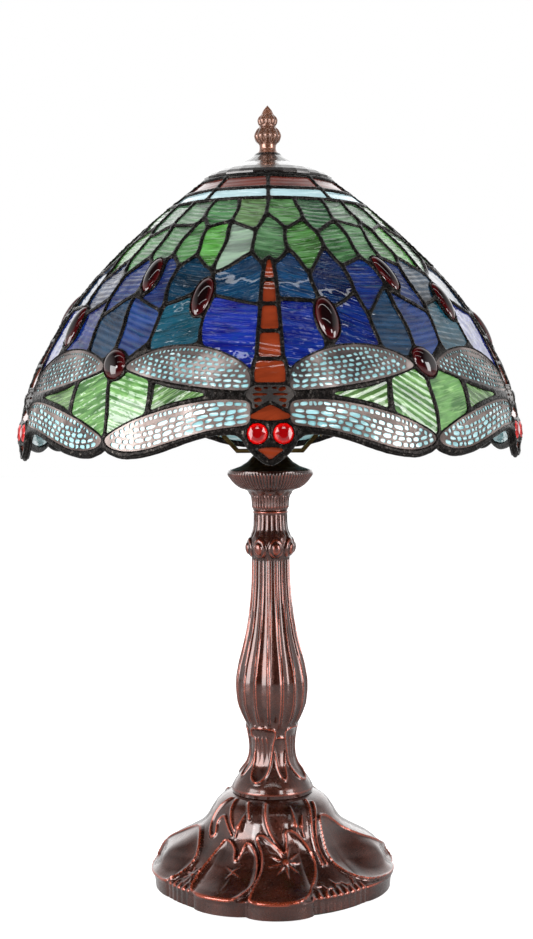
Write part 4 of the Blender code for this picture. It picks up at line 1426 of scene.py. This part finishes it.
FINIAL_PROFILE = [
    (0.2, 635), (1.8, 633.4), (3.6, 631.2), (5.2, 627.6), (7.4, 625), (8.3, 622.6), (7.6, 620.2),
    (6.6, 618), (8.8, 615.4), (10.6, 612.2), (11.1, 609.8), (10.2, 607.4), (8.4, 605), (7, 603.2),
    (6.8, 599.8), (7.6, 598), (9.2, 596.3),
]
FINIAL_INNER = [(3.3, 596.3), (3.3, 606), (0.2, 606)]
FINIAL_LOBES = 10


def finial(material):
    relief = Relief(FINIAL_PROFILE, 160, 0.35)
    turn, z = relief.azimuth[:, None], relief.z[None, :]
    lobes = np.abs(np.cos(turn * FINIAL_LOBES / 2)) ** 0.7
    relief.height += 1.0 * (lobes - 0.6) * fade(z, 604, 2) * fade(z, 617, -2)
    relief.height += 0.9 * (lobes - 0.6) * fade(z, 619, 1) * fade(z, 628, -3)
    cast_piece("finial_cast", relief, FINIAL_INNER, material, "finial", "finial")


# ---------------------------------------------------------------- carried-over CAD nodes


def dress(material, *names):
    """Gives CAD nodes that stay in sight a procedural material."""
    for name in names:
        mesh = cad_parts[name].data
        mesh.materials.clear()
        mesh.materials.append(material)


def small_parts(bronze, solder_look):
    brass = plain_finish("aged_brass", "3e3018", "74603a", 0.25, 0.28, 1.0, 0.1, True)
    dark_brass = plain_finish("dark_brass", "2a1c10", "4c3820", 0.2, 0.3, 0.9, 0.1)
    dress(brass, "harp_bow", "harp_stud", "ferrule_left", "ferrule_right", "harp_saddle")
    dress(dark_brass, "cup_cover", "socket_cap", "socket_shell")
    dress(plain_finish("zinc_steel", "8a8a86", "b4b4b0", 0.3, 0.3, 1.0, 0.08, True),
          "lamp_pipe", "pipe_washer", "pipe_nut", "bulb_base")
    plastic = plain_finish("black_plastic", "0c0c0c", "1a1a1a", 0.8, 0.38, 0.0, 0.05)
    dress(plastic, "switch_key", "cord_bushing")
    felt = plain_finish("green_felt", "12301c", "20482c", 1.6, 0.85, 0.0, 0.4, Sheen_Weight=0.4)
    dress(felt, "felt_pad")
    dress(plain_finish("frosted_glass", "dedbd2", "efece4", 0.1, 0.4, 0.0, 0.05), "bulb_glass")
    dress(solder_look, "shade_top_ring")
    dress(bronze, "vented_cap")


# ---------------------------------------------------------------- stage, light and camera


# Soft boxes as (name, place, aim, size, power), in metres and watts. The fills leave no highlights.
FRONT_DARK = 0.03  # the room on the camera's side is dark, so that the glass keeps its depth
FLOOR_GLOW = 0.1  # how much the floor lights the undersides
LIGHTS = [
    ("left_box", (-1.3, -0.95, 0.5), (0, 0, 0.25), (1.1, 1.2), 35),
    ("right_box", (1.3, -0.95, 0.5), (0, 0, 0.25), (0.6, 1.2), 22),
    ("high_left_box", (-1.0, -1.6, 1.25), (0, 0, 0.2), (0.4, 0.4), 7),
    ("high_right_box", (0.9, -1.7, 1.35), (0, 0, 0.2), (0.3, 0.4), 5),
    ("overhead_strip", (0, -0.3, 1.95), (0, 0, 0.45), (2.2, 0.05), 2.4),
    ("high_front_strip", (0, -1.2, 1.8), (0, 0, 0.45), (1.6, 0.03), 1.5),
    ("overhead_fill", (0, -0.6, 1.95), (0, 0, 0.45), (1.6, 0.8), 11),
    ("front_fill", (0, -2.3, 1.0), (0, 0, 0.4), (2.0, 1.6), 3),
]


def area_light(name, place, aim, size, power):
    data = bpy.data.lights.new(name, "AREA")
    data.shape = "RECTANGLE"
    data.size, data.size_y = size
    data.energy = power
    light = bpy.data.objects.new(name, data)
    light.location = place
    light.rotation_euler = (Vector(aim) - Vector(place)).to_track_quat("-Z", "Y").to_euler()
    bpy.context.scene.collection.objects.link(light)
    return light


def floor_plane():
    material, tree, shader = new_material("studio_floor", Roughness=0.6)
    shader.inputs["Emission Color"].default_value = (1.0, 1.0, 1.0, 1.0)
    seen = node(tree, "ShaderNodeLightPath").outputs["Is Camera Ray"]
    glow = mapped(tree, seen, 0.0, 1.0, FLOOR_GLOW, 0.9)
    speck = noise_at(tree, millimetres(tree), 0.004, 4)
    feed(tree, shader, Base_Color=ramp(tree, speck, (0.3, 0.42), (0.7, 0.46)), Emission_Strength=glow)
    corners = [(-8, -8, 0), (8, -8, 0), (8, 8, 0), (-8, 8, 0)]
    floor = make_object("studio_floor", corners, [(0, 1, 2, 3)], material)


def studio():
    """The lights, and a world that is plain to the camera and darker in front for all else."""
    world = bpy.data.worlds.new("studio")
    bpy.context.scene.world = world
    world.use_nodes = True
    tree = world.node_tree
    direction = node(tree, "ShaderNodeTexCoord").outputs["Generated"]
    toward = node(tree, "ShaderNodeSeparateXYZ", {0: direction}).outputs
    side = node(tree, "ShaderNodeMath", {0: toward["X"]}, operation="ABSOLUTE").outputs[0]
    side = mapped(tree, side, 0.5, 0.95, 0.0, 1.0)
    back = mapped(tree, toward["Y"], 0.3, 0.85, FRONT_DARK, 1.6)
    air = node(tree, "ShaderNodeMath", {0: side, 1: back}, operation="MAXIMUM").outputs[0]
    seen = node(tree, "ShaderNodeLightPath").outputs["Is Camera Ray"]
    tree.links.new(mapped(tree, seen, 0.0, 1.0, air, 1.0), tree.nodes["Background"].inputs["Strength"])
    tree.nodes["Background"].inputs["Color"].default_value = (1.0, 1.0, 1.0, 1.0)
    for name, place, aim, size, power in LIGHTS:
        area_light(name, place, aim, size, power).visible_glossy = "fill" not in name
    bpy.context.scene.view_settings.view_transform = "Standard"


CAMERA_DISTANCE, CAMERA_HEIGHT, CAMERA_TILT, CAMERA_ROLL = 1.225, 0.385, 2.1, 0.43
LENS, SENSOR = 57.5, 36.0


def camera():
    data = bpy.data.cameras.new("camera")
    data.lens, data.sensor_width = LENS, SENSOR
    obj = bpy.data.objects.new("camera", data)
    obj.location = (-0.0026, -CAMERA_DISTANCE, CAMERA_HEIGHT)
    obj.rotation_euler = (math.radians(90 - CAMERA_TILT), math.radians(CAMERA_ROLL), 0)
    bpy.context.scene.collection.objects.link(obj)
    bpy.context.scene.camera = obj


def main():
    floor_plane()
    studio()
    camera()
    pieces = draw_shade()
    even_loops(pieces)
    rim = rim_loop()
    field_glass(pieces)
    wings(pieces)
    jewels(pieces)
    metal = solder_material()
    thorax_openwork(pieces, filigree_material("thorax_metal", "262221", "4a4542", "827c78"))
    solder(pieces, rim, metal)
    rim_wire(rim, metal)
    bronze = bronze_material("antique_bronze", "30130a", "4c2114", "943c22")
    base(bronze)
    column(bronze)
    cup(bronze)
    finial(bronze_material("worn_bronze", "64402f", "845844", "b88068"))
    small_parts(bronze_material("cap_bronze", "100c0b", "241c1a", "6a5a50"), metal)


main()
